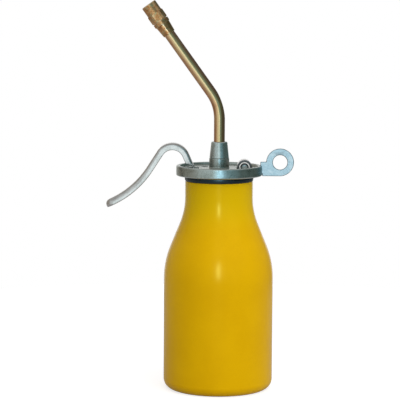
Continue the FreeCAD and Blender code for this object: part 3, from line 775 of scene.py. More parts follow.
    def _mark_edges(self) -> None:
        """Store how tightly each point bends outwards."""
        mesh = self.object.data
        made = bmesh.new()
        made.from_mesh(mesh)
        bends = [0.0] * len(made.verts)
        for edge in made.edges:
            if len(edge.link_faces) != 2:
                continue
            one, two = edge.link_faces
            gap = (one.calc_center_median() - two.calc_center_median()).length / MM
            bend = edge.calc_face_angle_signed(0.0) / max(gap, self.CLOSEST)
            for corner in edge.verts:
                bends[corner.index] = max(bends[corner.index], bend)
        made.free()
        marks = mesh.attributes.new(EDGE_MARK, "FLOAT", "POINT")
        marks.data.foreach_set("value", [limited((bend - self.FLAT) / self.TIGHT) for bend in bends])


# ------------------------------------------------------------------ sub-assemblies
class SubAssembly:
    """Pieces that move with one CAD body."""

    body = "bottle"

    def deliver(
        self,
        piece: Workpiece,
        slot: str,
        finish: bpy.types.Material,
        nodes: Sequence[str],
    ) -> bpy.types.Object:
        """Give a piece its finish, its body and the CAD nodes that it stands for.

        Args:
            piece: The finished workpiece.
            slot: The record's slot for its material; not used.
            finish: Its material.
            nodes: The CAD nodes that it takes the place of.

        Returns:
            The piece's object.
        """
        made = piece.object
        made.data.materials.clear()
        made.data.materials.append(finish)
        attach(made, self.body)
        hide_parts(*nodes)
        LOG.info("%s rides on %s with %d faces", made.name, self.body, len(made.data.polygons))
        return made


@dataclass
class Bottle(SubAssembly):
    """Blow-moulded round bottle."""

    body = "bottle"
    wall: float = 1.6
    neck: float = 20.85
    base_corner: float = 6.0
    shoulder_height: float = 79.7
    neck_height: float = 111.6
    shoulder_round: float = 53.1
    neck_round: float = 42.3
    mouth_round: float = 0.5
    push_up: float = 1.2
    push_round: float = 1.0
    foot_width: float = 6.0
    foot_round: float = 0.5
    seam_height: float = 0.09
    seam_width: float = 0.9
    seam_margin: float = 0.1
    facets: int = 128

    def outline(self, inset: float, radius: float, height: float) -> list[Sequence[float]]:
        """Give the corners of one skin of the wall, from the axis to the mouth.

        Args:
            inset: How far the skin lies inside the outer one.
            radius: Radius of the body.
            height: Height of the mouth.

        Returns:
            (radius, height, fillet) corners.
        """
        inner = radius - self.base_corner - self.foot_width
        outer = radius - inset
        neck = self.neck - inset
        lean = math.atan2(radius - self.neck, self.neck_height - self.shoulder_height)
        shift = inset * math.tan(lean / 2)
        return [
            (0.0, self.push_up + inset),
            (inner - self.push_up, self.push_up + inset, self.push_round),
            (inner, inset, self.foot_round),
            (outer, inset, self.base_corner - inset),
            (outer, self.shoulder_height - shift, self.shoulder_round - inset),
            (neck, self.neck_height - shift, self.neck_round + inset),
            (neck, height, self.mouth_round),
        ]

    def seam(self, angle: float, radius: float, height: float) -> float:
        """Raise the mould's parting line on both sides.

        Args:
            angle: Angle about the axis, in radians.
            radius: Radius of the point.
            height: Height of the point; not used, as the line is as high all the way up.

        Returns:
            How far the point moves outwards.
        """
        away = min(abs(math.remainder(angle, math.pi)), math.pi) * radius
        if radius < self.neck - self.seam_margin or away > self.seam_width / 2:
            return 0.0
        return self.seam_height * 0.5 * (1 + math.cos(2 * math.pi * away / self.seam_width))

    def build(self, finish: bpy.types.Material) -> None:
        # The bush's second colour is painted shade round the pin.
        """Build the bottle.

        Args:
            finish: Material of the piece.
        """
        high = box_mm("bottle")[1]
        radius, height = high.x, high.z
        outside = self.outline(0.0, radius, height)
        inside = self.outline(self.wall, radius, height)
        outline = rounded(outside + inside[::-1], step=7.5, chord=2.0)
        angles = set(even_angles(self.facets))
        for middle in (0.0, math.pi):
            for share in (-0.5, -0.25, 0.25, 0.5):
                angles.add((middle + share * self.seam_width / self.neck) % (2 * math.pi))
        piece = Workpiece.turned("bottle_shell", outline, sorted(angles), self.seam)
        self.deliver(piece.shade(30), "bottle_plastic", finish, ["bottle"])


@dataclass
class NeckSeal(SubAssembly):
    """Black rubber ring between the bottle's mouth and the head."""

    body = "neck_seal"
    bore: float = 19.55
    corner: float = 0.9
    bore_round: float = 0.3
    bulge: float = 0.12
    flash: float = 0.1
    flash_half: float = 0.25
    facets: int = 128

    def build(self, finish: bpy.types.Material) -> None:
        """Build the ring with its moulding line.

        Args:
            finish: Material of the piece.
        """
        low, high = box_mm("neck_seal")
        middle = (low.z + high.z) / 2
        side = high.x - self.bulge - self.flash
        outline = rounded([
            (self.bore, low.z, self.bore_round),
            (side, low.z, self.corner),
            (side + self.bulge, middle - self.flash_half),
            (side + self.bulge + self.flash, middle),
            (side + self.bulge, middle + self.flash_half),
            (side, high.z, self.corner),
            (self.bore, high.z, self.bore_round),
        ])
        piece = Workpiece.turned("neck_ring", outline, even_angles(self.facets))
        self.deliver(piece.shade(30), "seal_rubber", finish, ["neck_seal"])


@dataclass
class HeadCasting(SubAssembly):
    """Die-cast head: dish, rim, boss, skirt, slots and hinge ears."""

    body = "head"
    rim_wall: float = 2.5
    rim_round: float = 0.8
    floor_depth: float = 1.6
    floor_thick: float = 2.0
    head_height: float = 6.2
    boss_radius: float = 6.2
    boss_top: float = 4.5
    boss_chamfer: float = 0.3
    fillet: float = 0.9
    spigot_radius: float = 4.2
    spigot_round: float = 0.2
    rod_radius: float = 3.05
    well_radius: float = 3.3
    gland_radius: float = 4.4
    gland_depth: float = 2.4
    skirt_radius: float = 19.05
    skirt_round: float = 0.5
    skirt_bore: float = 15.2
    ceiling_round: float = 0.6
    carrier_bore: float = 15.9
    carrier_top: float = 118.4
    groove_radius: float = 16.7
    groove: tuple[float, float] = (115.0, 116.0)  # heights
    thread_depth: float = 0.8
    thread_pitch: float = 4.0
    thread_start: float = 6.6
    thread_lift: float = 1.4
    thread_turns: float = 2.4
    thread_sunk: float = 0.25
    thread_lip: float = 0.3
    thread_least: float = 0.05
    thread_halves: tuple[float, float, float] = (1.0, 0.95, 0.45)  # root, skirt and crest
    thread_facets: int = 48
    thread_fade: int = 10
    slot_half: float = 4.9
    slot_round: float = 0.2
    shank_slot: tuple[float, float] = (-23.9, -12.6)  # ends on X
    shank_slot_round: float = 0.9
    shelf: float = 0.8
    shelf_lap: float = 0.1
    shelf_end: float = -19.1
    slot_drop: float = 6.0
    eye_slot: tuple[float, float] = (10.7, 20.5)  # ends on X
    eye_slot_drop: float = 1.5
    eye_slot_rise: float = 6.0
    ear_thick: float = 2.4
    ear_half: float = 1.8
    ear_foot: float = 0.5
    ear_lap: float = 0.01
    hinge: Spot = (15.6, 138.9)
    pin_radius: float = 1.11
    pin_half: float = 9.0
    spanner_hole: tuple[float, float, float] = (-9.0, 10.0, 2.1)  # X, Y and radius
    tongue: tuple[float, float, float] = (24.45, 134.55, 0.95)  # start on X, foot, half width
    tongue_round: float = 0.1
    tongue_over: float = 3.0
    edge: float = 0.22
    over: float = 2.0  # how far cutters stand out
    facets: int = 144

    def blank(self, base: float, rim: float, radius: float) -> Workpiece:
        """Turn the dish with its boss and skirt.

        Args:
            base: Height of the rim's underside.
            rim: Height of the rim's top.
            radius: Radius of the rim.

        Returns:
            The turned blank.
        """
        floor = rim - self.floor_depth
        ceiling = floor - self.floor_thick
        boss = rim + self.boss_top
        low, high = box_mm("head_cap")
        root = self.skirt_radius - self.thread_depth
        inner = radius - self.rim_wall
        outline = rounded([
            (self.rod_radius, ceiling + self.gland_depth),
            (self.gland_radius, ceiling + self.gland_depth),
            (self.gland_radius, ceiling),
            (self.skirt_bore, ceiling, self.ceiling_round),
            (self.skirt_bore, self.carrier_top),
            (self.carrier_bore, self.carrier_top),
            (self.carrier_bore, self.groove[1]),
            (self.groove_radius, self.groove[1]),
            (self.groove_radius, self.groove[0]),
            (self.carrier_bore, self.groove[0]),
            (self.carrier_bore, low.z),
            (root, low.z, self.skirt_round),
            (root, base),
            (radius, base, self.rim_round),
            (radius, rim, self.rim_round),
            (inner, rim, self.rim_round),
            (inner, floor, self.fillet),
            (self.boss_radius, floor, self.fillet),
            (self.boss_radius, boss, self.boss_chamfer),
            (self.spigot_radius, boss),
            (self.spigot_radius, high.z, self.spigot_round),
            (self.well_radius, high.z),
            (self.well_radius, floor + self.fillet),
            (self.rod_radius, floor + self.fillet),
        ], step=15.0)
        return Workpiece.turned("head_blank", outline, even_angles(self.facets))

    def thread(self, base: float) -> Workpiece:
        """Wind the skirt's screw thread, running out at both ends.

        Args:
            base: Height of the rim's underside.

        Returns:
            The thread, a little sunk into the skirt.
        """
        loops = []
        steps = int(self.thread_turns * self.thread_facets)
        middle = base - self.thread_start + 0.5 * self.thread_pitch - self.thread_lift
        root = self.skirt_radius - self.thread_depth - self.thread_sunk
        for step in range(steps + 1):
            angle = 2 * math.pi * step / self.thread_facets
            fade = min(1.0, step / self.thread_fade, (steps - step) / self.thread_fade)
            crest = root + self.thread_lip + (self.thread_depth - self.thread_least) * fade
            height = middle - self.thread_pitch * angle / (2 * math.pi)
            upper = list(zip((root, root + self.thread_sunk, crest), self.thread_halves))
            section = [(reach, -rise) for reach, rise in upper] + upper[::-1]
            loops.append([
                Vector((reach * math.cos(angle), reach * math.sin(angle), height + rise))
                for reach, rise in section
            ])
        return Workpiece.from_loops("head_thread", loops)

    def pocket(
        self, across: Sequence[float], half: float, low: float, high: float, corner: float
    ) -> Workpiece:
        """Make a cutter for a slot with rounded corners.

        Args:
            across: Where the slot starts and ends on X.
            half: Half of its width.
            low: Height of its bottom.
            high: Height of its top.
            corner: Radius of its corners.

        Returns:
            The cutter.
        """
        outline = rounded([
            (across[0], -half, corner),
            (across[1], -half, corner),
            (across[1], half, corner),
            (across[0], half, corner),
        ], step=30.0)
        return Workpiece.slab("pocket", outline, low, high)

    def ears(self, ceiling: float) -> list[Workpiece]:
        """Make the two rounded ears that carry the hinge pin.

        Args:
            ceiling: Height of the underside of the dish's floor.

        Returns:
            Both ears, which stand in the floor.
        """
        x, z = self.hinge
        half = self.ear_half
        foot = ceiling + self.ear_foot
        outline = [(x - half, foot), (x + half, foot), *arc((x, z), half, 0, 180, 18)]
        made = []
        for side in (-1, 1):
            span = sorted((side * (self.slot_half - self.ear_lap), side * (self.slot_half + self.ear_thick)))
            made.append(Workpiece.slab("ear", outline, span[0], span[1], "Y"))
        return made

    def build(self, finish: bpy.types.Material) -> None:
        """Build the casting.

        Args:
            finish: Material of the piece.
        """
        base = box_mm("neck_seal")[1].z
        rim = base + self.head_height
        radius = box_mm("head_cap")[1].x
        floor = rim - self.floor_depth
        ceiling = floor - self.floor_thick
        piece = self.blank(base, rim, radius)
        piece.combine("UNION", self.ears(ceiling))
        x, y, hole = self.spanner_hole
        wide, shelf = self.slot_half, base + self.shelf
        lower = (self.shelf_end, self.shank_slot[1])
        cutters = [
            self.pocket(self.shank_slot, wide, shelf, rim + self.over, self.shank_slot_round),
            self.pocket(lower, wide, base - self.slot_drop, shelf + self.shelf_lap, self.slot_round),
            self.pocket(
                self.eye_slot, wide, base - self.eye_slot_drop, floor + self.eye_slot_rise, self.slot_round
            ),
        ]
        for side in (-1, 1):
            outline = bore_outline((side * x, side * y), hole)
            cutters.append(Workpiece.slab("spanner_hole", outline, ceiling - self.over, floor + self.over))
        pin = bore_outline(self.hinge, self.pin_radius)
        cutters.append(Workpiece.slab("pin_hole", pin, -self.pin_half, self.pin_half, "Y"))
        start, foot, half = self.tongue
        across = (start, radius + self.tongue_over)
        cutters.append(self.pocket(across, half, foot, rim + self.over, self.tongue_round))
        piece.combine("DIFFERENCE", cutters)
        piece.soften(self.edge, 2, 42)
        piece.combine("UNION", [self.thread(base)])
        piece.object.name = "head_casting"
        self.deliver(piece.shade(32), "head_zinc", finish, ["head_cap"])


@dataclass
class HangingEye(SubAssembly):
    """Flat plate with a ring to hang the can by."""

    body = "head"
    reach: float = 37.7
    ring: float = 8.55
    hole: float = 4.5
    step_back: float = 1.1
    tongue_rise: float = 1.2
    lug_rise: float = 2.4
    rim_gap: float = 0.05
    edge: float = 0.4

    def build(self, finish: bpy.types.Material) -> None:
        """Build the plate.

        Args:
            finish: Material of the piece.
        """
        low, high = box_mm("hanging_eye")
        head = box_mm("head_cap")[1]
        rim_top = box_mm("neck_seal")[1].z + HeadCasting.head_height
        centre = (self.reach, low.z + self.ring)
        tongue_low = rim_top - HeadCasting.head_height + self.tongue_rise
        step_x = head.x - self.step_back
        top = rim_top + self.lug_rise
        meets = 180 - math.degrees(math.asin((top - centre[1]) / self.ring))
        outline = [
            (low.x, tongue_low),
            (head.x + self.rim_gap, tongue_low),
            (head.x + self.rim_gap, low.z),
            *arc(centre, self.ring, -90, meets, 72),
            (step_x, top),
            (step_x, rim_top + self.rim_gap),
            (low.x, rim_top + self.rim_gap),
        ]
        piece = Workpiece.slab("hanging_plate", outline, low.y, high.y, "Y")
        piece.soften(self.edge, 3, 30, clamp=False)
        flare = self.hole + self.edge
        profile = [(0.0, low.y - 1), (flare, low.y - 1)]
        profile += arc((flare, low.y + self.edge), self.edge, 270, 180, 3)
        profile += arc((flare, high.y - self.edge), self.edge, 180, 90, 3)
        profile += [(flare, high.y + 1), (0.0, high.y + 1)]
        place = Matrix.Translation((centre[0], 0, centre[1])) @ Matrix.Rotation(math.radians(90), 4, "X")
        piece.combine("DIFFERENCE", [Workpiece.turned("bore", profile, even_angles(60)).moved(place)])
        self.deliver(piece.shade(32), "eye_zinc", finish, ["hanging_eye"])


@dataclass
class Station:
    """One place on a centre line: its heading in degrees and its distance along the line."""

    x: float
    z: float
    heading: float
    along: float

    def spot(self, across: float, inwards: float) -> Vector:
        """Place a point beside the line: across it on Y, and inwards to the left of its heading."""
        angle = math.radians(self.heading)
        return Vector((self.x - inwards * math.sin(angle), across, self.z + inwards * math.cos(angle)))


class CentreLine:
    """Centre line of a bent piece in the XZ plane, made of runs and arcs that meet smoothly."""

    LONGEST = 1.5  # longest step in a bend, in millimetres

    def __init__(self, x: float, z: float, heading: float) -> None:
        """Start at a point with a heading in degrees."""
        self.stations = [Station(x, z, heading, 0.0)]

    @property
    def end(self) -> Station:
        """Give the last station."""
        return self.stations[-1]

    def line(self, length: float, facet: float = 2.0) -> "CentreLine":
        """Go straight on.

        Args:
            length: Length of the run.
            facet: Longest step.

        Returns:
            The same line.
        """
        start = self.end
        count = max(1, math.ceil(length / facet))
        turn = math.radians(start.heading)
        for number in range(1, count + 1):
            gone = length * number / count
            place = (start.x + gone * math.cos(turn), start.z + gone * math.sin(turn))
            self.stations.append(Station(*place, start.heading, start.along + gone))
        return self

    def arc(self, radius: float, turn: float, facet: float = 6.0) -> "CentreLine":
        """Bend the line.

        Args:
            radius: Radius of the bend.
            turn: Degrees, positive to the left and negative to the right.
            facet: Largest turn of one step, in degrees.

        Returns:
            The same line.
        """
        start = self.end
        signed = math.copysign(radius, turn)
        first = math.radians(start.heading - 90)
        centre = (start.x - signed * math.cos(first), start.z - signed * math.sin(first))
        length = radius * math.radians(abs(turn))
        count = max(2, math.ceil(max(abs(turn) / facet, length / self.LONGEST)))
        for number in range(1, count + 1):
            part = turn * number / count
            angle = first + math.radians(part)
            place = (centre[0] + signed * math.cos(angle), centre[1] + signed * math.sin(angle))
            along = start.along + radius * math.radians(abs(part))
            self.stations.append(Station(*place, start.heading + part, along))
        return self


@dataclass
class ThumbLever(SubAssembly):
    """Pressed sheet lever: rolled eye, pad, shank, crest and grip."""

    body = "lever"
    hinge: Spot = (15.6, 138.9)
    sheet: float = 1.2
    width: float = 9.0
    curl: float = 3.9
    curl_turn: float = 300.0
    eye_reach: float = 6.0
    root_bend: float = 3.5
    shank_lean: float = 23.3
    crest: Spot = (-28.94, 142.35)
    crest_bend: float = 10.5
    neck_slope: float = 57.3
    neck_run: float = 11.7
    grip_bend: float = 54.5
    grip_turn: float = 31.0
    tip_run: float = 0.9
    flange: float = 4.2
    fade: tuple[float, float] = (140.1, 142.2)  # heights where the flange starts and is full
    shank_from: tuple[float, float] = (179.0, -5.0)  # heading and X before which it is flat
    fold: tuple[float, float] = (1.6, 3.1)  # radius on the shank and on the grip
    fold_zone: tuple[float, float] = (-36.0, -54.0)  # where it changes on X
    least_fold: float = 0.4
    burr: float = 0.4
    pad: float = 8.5
    rod_hole: tuple[float, float, float] = (3.6, -1.3, 0.3)  # radius, rear and front centre
    over: float = 2.0  # how far cutters stand out
    pip: tuple[float, float, float] = (2.0, 5.4, 134.72)  # radius, distance from the middle, height

    def half_section(self, half: float, flange: float, x: float) -> list[Spot]:
        """Give half of the channel's section, from its middle round the flange and back.

        Args:
            half: Half of the sheet's width.
            flange: Height from the web's outer face to the flange's edge.
            x: Place of the section, since the fold is rounder on the grip.

        Returns:
            (across, inwards) points.
        """
        skin = self.sheet / 2
        edge = flange - skin
        raised = flange - self.sheet
        start, end = self.fold_zone
        gripping = limited((x - start) / (end - start))
        fold = min(self.fold[0] + (self.fold[1] - self.fold[0]) * gripping, self.least_fold + raised)
        inner = max(0.0, min(fold - self.sheet, raised))
        outline = [(0.0, -skin)]
        outline += arc((half - fold, -skin + fold), fold, -90, 0, 8)
        burr = self.burr
        outline += arc((half - burr, edge - burr), burr, 0, 90, 3)
        outline += arc((half - self.sheet + burr, edge - burr), burr, 90, 180, 3)
        if raised < 1e-6:
            outline = outline[:-3] + [(half - self.sheet, edge)] * 3
        outline += arc((half - self.sheet - inner, skin + inner), inner, 0, -90, 5)
        outline.append((0.0, skin))
        return outline

    def line(self) -> CentreLine:
        """Give the sheet's centre line.

        Returns:
            The line from the rolled eye to the grip's end.
        """
        x, z = self.hinge
        start = math.radians(self.curl_turn - 90)
        line = CentreLine(
            x + self.curl * math.cos(start), z + self.curl * math.sin(start), 180 + self.curl_turn
        )
        line.arc(self.curl, -self.curl_turn, 7.5)
        web = line.end
        lean = math.radians(self.shank_lean)
        top_x = self.crest[0] + self.crest_bend * math.cos(lean)
        top_z = self.crest[1] + self.crest_bend * math.sin(lean)
        shank = (top_z - web.z) / math.cos(lean)
        foot_x = top_x + shank * math.sin(lean)
        turn = 90 - self.shank_lean
        trim = self.root_bend * math.tan(math.radians(turn / 2))
        line.line(web.x - foot_x - trim, 0.5)
        line.arc(self.root_bend, -turn)
        line.line(shank - trim, 0.7)
        line.arc(self.crest_bend, turn + self.neck_slope, 5)
        line.line(self.neck_run)
        line.arc(self.grip_bend, -self.grip_turn)
        line.line(self.tip_run)
        return line

    def flange_share(self, station: Station) -> float:
        """Give how much of the flange stands at a station.

        Args:
            station: A place on the centre line.

        Returns:
            0 on the eye and the pad, rising up the shank to 1 from the crest onwards.
        """
        if station.x < self.crest[0]:
            return 1.0
        on_shank = station.heading < self.shank_from[0] and station.x < self.shank_from[1]
        low, high = self.fade
        return limited((station.z - low) / (high - low)) if on_shank else 0.0

    def loops(self, line: CentreLine) -> list[list[Vector]]:
        """Give the sheet's section at each station.

        Args:
            line: The sheet's centre line.

        Returns:
            A ring of points for each station.
        """
        loops = []
        for station in line.stations:
            flat = abs(station.z - (self.hinge[1] - self.curl)) < 0.01
            half = self.width / 2
            if flat and abs(station.x) < self.pad:
                half = max(half, math.sqrt(self.pad ** 2 - station.x ** 2))
            flange = self.sheet + (self.flange - self.sheet) * self.flange_share(station)
            side = self.half_section(half, flange, station.x)
            ring = side + [(-across, inwards) for across, inwards in side[-2:0:-1]]
            loops.append([station.spot(across, inwards) for across, inwards in ring])
        return loops

    def sheared(self, centre: Vector, normal: Vector) -> float:
        """Give 1 on the sheared sides of the rolled eye, which take painted shade."""
        return 1.0 if abs(normal.y) > 0.6 and centre.x > self.hinge[0] - self.eye_reach else 0.0

    def tip(self, made: bmesh.types.BMesh, end: Station) -> None:
        """Carry the flange round the grip's end.

        Args:
            made: The mesh that takes the faces.
            end: The last station.
        """
        angle = math.radians(end.heading)
        along = Vector((math.cos(angle), 0, math.sin(angle)))
        inward = Vector((-math.sin(angle), 0, math.cos(angle)))
        side = self.half_section(self.width / 2, self.flange, end.x)
        centre = Vector((end.x, 0, end.z))
        spokes = []
        for degrees in range(-90, 91, 10):
            turn = math.radians(degrees)
            out = along * math.cos(turn) + Vector((0, 1, 0)) * math.sin(turn)
            spokes.append([made.verts.new(centre + out * a + inward * b) for a, b in side])
        join_rings(made, spokes, around=False)

    def build(self, finish: bpy.types.Material) -> None:
        """Build the lever.

        Args:
            finish: Material of the piece.
        """
        line = self.line()
        made = bmesh.new()
        rings = [[made.verts.new(point) for point in loop] for loop in self.loops(line)]
        join_rings(made, rings)
        made.faces.new(rings[0])
        self.tip(made, line.end)
        piece = Workpiece("lever_pressing", made)
        radius, back, front = self.rod_hole
        slot = arc((front, 0), radius, -90, 90, 16) + arc((back, 0), radius, 90, 270, 16)
        web = self.hinge[1] - self.curl
        low, high = web - self.over, web + self.over
        piece.combine("DIFFERENCE", [Workpiece.slab("rod_slot", slot, low, high)])
        size, spread, height = self.pip
        side_points = arc((0, 0), size, -80, 10, 9)
        dome = [(0.0, -size), *side_points, (0.0, side_points[-1][1])]
        pips = []
        for side in (-1, 1):
            pip = Workpiece.turned("pip", dome, even_angles(24))
            pips.append(pip.moved(Matrix.Translation((0, side * spread, height))))
        piece.combine("UNION", pips)
        piece.shade(38).mark_faces(CUT_MARK, self.sheared)
        self.deliver(piece, "lever_zinc", finish, ["thumb_lever"])


@dataclass
class Spout(SubAssembly):
    """Nut, bent tube and nozzle adapter."""

    body = "spout"
    bend_height: float = 177.4
    bend: float = 30.0
    lean: float = 35.8
    reach: float = 75.4
    tube_radius: float = 3.4
    tube_bore: float = 2.6
    tube_fit: float = 0.02
    tube_facets: int = 56
    flattening: float = 0.035
    nut_low: float = 6.05
    nut_top: float = 4.95
    nut_foot: float = 0.9
    nut_draft: float = 0.02
    nut_rounds: tuple[float, float, float, float, float] = (0.1, 0.35, 0.6, 0.9, 0.25)  # from foot to lip
    nut_facets: int = 96
    lip: float = 0.35
    lip_depth: float = 0.3
    spigot: float = 4.25
    seal_bore: float = 2.5
    joint: float = 63.2
    joint_gap: float = 0.03
    tube_stop: float = 3.0
    socket_radius: float = 3.55
    socket_end: float = 5.1
    socket_round: float = 0.4
    passage: float = 1.5
    groove: float = 0.4
    collar: tuple[float, float] = (5.15, 2.9)  # radius and length
    collar_rounds: tuple[float, float, float, float] = (0.35, 0.25, 0.3, 0.15)  # from rear to front
    collar_draft: float = 0.1
    collar_facets: int = 88
    taper: tuple[float, float, float] = (4.6, 3.95, 7.1)  # front radius, rear radius and length

    def place(self) -> Matrix:
        """Give the move from the Z axis onto the leaning end of the spout."""
        turn = Matrix.Rotation(-math.radians(self.lean), 4, "Y")
        return Matrix.Translation((0, 0, self.bend_height)) @ turn

    def build_nut(self, finish: bpy.types.Material) -> None:
        """Build the cone-shaped nut with its rolled top lip.

        Args:
            finish: Material of the piece.
        """
        low, high = box_mm("spout_nut")
        bottom, top = low.z, high.z
        shoulder = box_mm("spout_seal")[1].z
        socket = box_mm("spout_tube")[0].z
        bore = self.tube_radius + self.tube_fit
        slope = (self.nut_low - self.nut_top) / (top - bottom)
        foot = self.nut_low - slope * self.nut_foot
        rounds = self.nut_rounds
        outline = rounded([
            (self.spigot, bottom, rounds[0]),
            (self.nut_low - self.nut_draft, bottom, rounds[1]),
            (foot, bottom + self.nut_foot, rounds[2]),
            (self.nut_top, top, rounds[3]),
            (bore + self.lip, top, rounds[4]),
            (bore, top - self.lip_depth),
            (bore, socket),
            (self.seal_bore, socket),
            (self.seal_bore, shoulder),
            (self.spigot, shoulder),
        ], step=15.0)
        piece = Workpiece.turned("spout_nut_body", outline, even_angles(self.nut_facets))
        self.deliver(piece.shade(32), "nut_zinc", finish, ["spout_nut"])

    def build_tube(self, finish: bpy.types.Material) -> None:
        """Bend the tube, a little flattened inside the bend as bent tube is.

        Args:
            finish: Material of the piece.
        """
        start = box_mm("spout_tube")[0].z
        trim = self.bend * math.tan(math.radians(self.lean / 2))
        end = self.joint - self.tube_stop
        route = CentreLine(0.0, start, 90.0)
        route.line(self.bend_height - trim - start, 4.0)
        route.arc(self.bend, self.lean, 2.2)
        route.line(end - trim, 4.0)
        bend_start = self.bend_height - trim - start
        bend_length = self.bend * math.radians(self.lean)
        outer = []
        inner = []
        for station in route.stations:
            share = (station.along - bend_start) / bend_length
            flat = self.flattening * math.sin(math.pi * share) ** 2 if 0 < share < 1 else 0.0
            for radius, rings in ((self.tube_radius, outer), (self.tube_bore, inner)):
                rings.append([
                    station.spot(radius * math.sin(turn), radius * math.cos(turn) * (1 - flat))
                    for turn in even_angles(self.tube_facets)
                ])
        piece = Workpiece.from_loops("spout_pipe", outer + inner[::-1], closed=True)
        self.deliver(piece.shade(32), "spout_chromate", finish, ["spout_tube"])

    def build_adapter(self, finish: bpy.types.Material) -> None:
        """Turn the collar and taper behind the nozzle.

        Args:
            finish: Material of the piece.
        """
        joint = self.joint - self.joint_gap
        radius, length = self.collar
        front, rear, run = self.taper
        collar = joint - length
        back = collar - run
        rounds = self.collar_rounds
        bore = self.tube_radius + self.tube_fit
        socket_end = self.reach - self.socket_end
        outline = rounded([
            (bore, back),
            (rear, back, rounds[0]),
            (front, collar, rounds[1]),
            (radius, collar + self.collar_draft, rounds[2]),
            (radius, joint - self.groove, rounds[3]),
            (front, joint - self.groove),
            (front, joint),
            (self.socket_radius, joint),
            (self.socket_radius, socket_end, self.socket_round),
            (self.passage, socket_end),
            (self.passage, self.joint - self.tube_stop),
            (bore, self.joint - self.tube_stop),
        ], step=15.0)
        piece = Workpiece.turned("nozzle_collar", outline, even_angles(self.collar_facets))
        piece.moved(self.place())
        self.deliver(piece.shade(32), "nozzle_brass", finish, ["nozzle_adapter"])


@dataclass
class Nozzle(SubAssembly):
    """Screwed nozzle with a round front and a hexagon."""

    body = "nozzle"
    spout: Spout = field(default_factory=Spout)
    radius: float = 4.85
    barrel: float = 6.5
    flats: float = 9.8  # across the hexagon
    corners: float = 5.3  # radius of its turned corners
    rear_chamfer: tuple[float, float, float] = (0.2, 0.25, 0.1)  # step in, rise and fillet
    front_chamfer: tuple[float, float] = (0.45, 0.2)  # size and fillet
    front_sunk: float = 0.4
    front_round: float = 0.55
    orifice: float = 0.75
    mouth: float = 2.2
    face: float = 4.3
    face_cone: float = 0.4
    thread: float = 3.6
    over: tuple[float, float] = (1.0, 0.5)  # how far the cutter stands out behind and in front
    edge: float = 0.14
    facets: int = 96
    bore_facets: int = 64

    def build(self, finish: bpy.types.Material) -> None:
        """Build the nozzle.

        Args:
            finish: Material of the piece.
        """
        reach, joint = self.spout.reach, self.spout.joint
        barrel = reach - self.barrel
        inner = reach - self.face
        corner = self.flats / 2 / math.cos(math.radians(30))
        hexagon = arc((0.0, 0.0), corner, 0, 300, 5)
        piece = Workpiece.slab("nozzle_tip", hexagon, joint, barrel)
        step, rise, rear_round = self.rear_chamfer
        slope, front_round = self.front_chamfer
        limit = rounded([
            (0.0, joint),
            (self.corners - step, joint),
            (self.corners, joint + rise, rear_round),
            (self.corners, barrel - slope, front_round),
            (self.corners - slope, barrel),
            (0.0, barrel),
        ])
        piece.combine("INTERSECT", [Workpiece.turned("limit", limit, even_angles(self.facets))])
        front = rounded([
            (0.0, barrel - self.front_sunk),
            (self.radius, barrel - self.front_sunk),
            (self.radius, reach, self.front_round),
            (0.0, reach),
        ], step=15.0)
        piece.combine("UNION", [Workpiece.turned("front", front, even_angles(self.facets))])
        depth = self.mouth - self.orifice
        behind, before = self.over
        bore = [
            (0.0, joint - behind),
            (self.thread, joint - behind),
            (self.thread, inner),
            (self.orifice, inner + self.face_cone),
            (self.orifice, reach - depth),
            (self.mouth, reach),
            (self.mouth + before, reach + before),
            (0.0, reach + before),
        ]
        piece.combine("DIFFERENCE", [Workpiece.turned("bore", bore, even_angles(self.bore_facets))])
        piece.soften(self.edge, 2, 24)
        piece.moved(self.spout.place())
        self.deliver(piece.shade(28), "nozzle_brass", finish, ["nozzle_cap"])


@dataclass
class ReturnSpring(SubAssembly):
    """Coil spring under the thrust collar, with closed ends."""

    body = "head"
    wire: float = 0.9
    turns: float = 5.5
    pressed_share: float = 0.7  # length left at full stroke
    end_turns: float = 0.75
    end_rise: float = 0.12
    facets: int = 36
    wire_facets: int = 12

    def build(self, finish: bpy.types.Material) -> None:
        """Wind the spring.

        Args:
            finish: Material of the piece.
        """
        low, high = box_mm("return_spring")
        half = self.wire / 2
        radius = high.x - half
        bottom, top = low.z + half, high.z - half
        closed = self.end_turns / self.turns
        loops = []
        steps = int(self.turns * self.facets)
        for step in range(steps + 1):
            angle = 2 * math.pi * step / self.facets
            share = step / steps
            run = limited((share - closed) / (1 - 2 * closed))
            height = bottom + (top - bottom) * (self.end_rise * share + (1 - self.end_rise) * run)
            out = Vector((math.cos(angle), math.sin(angle), 0))
            centre = out * radius + Vector((0, 0, height))
            loops.append([
                centre + out * (half * math.cos(turn)) + Vector((0, 0, half * math.sin(turn)))
                for turn in even_angles(self.wire_facets)
            ])
        piece = Workpiece.from_loops("stroke_spring", loops)
        made = self.deliver(piece.shade(32), "bright_steel", finish, ["return_spring"])
        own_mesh(made)


class Workings:
    """CAD nodes that keep their own shape and take a finish."""

    def dress(self, finishes: Mapping[str, bpy.types.Material]) -> None:
        """Give every CAD node that still shows the finish of its slot.

        Args:
            finishes: A material for each slot.
        """
        for name, node in sorted(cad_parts.items()):
            if node.hide_render:
                continue
            for holder in node.material_slots:
                slot = holder.material.name.split(".")[0]
                holder.material = finishes[slot]
            LOG.info("%s keeps its CAD shape", name)


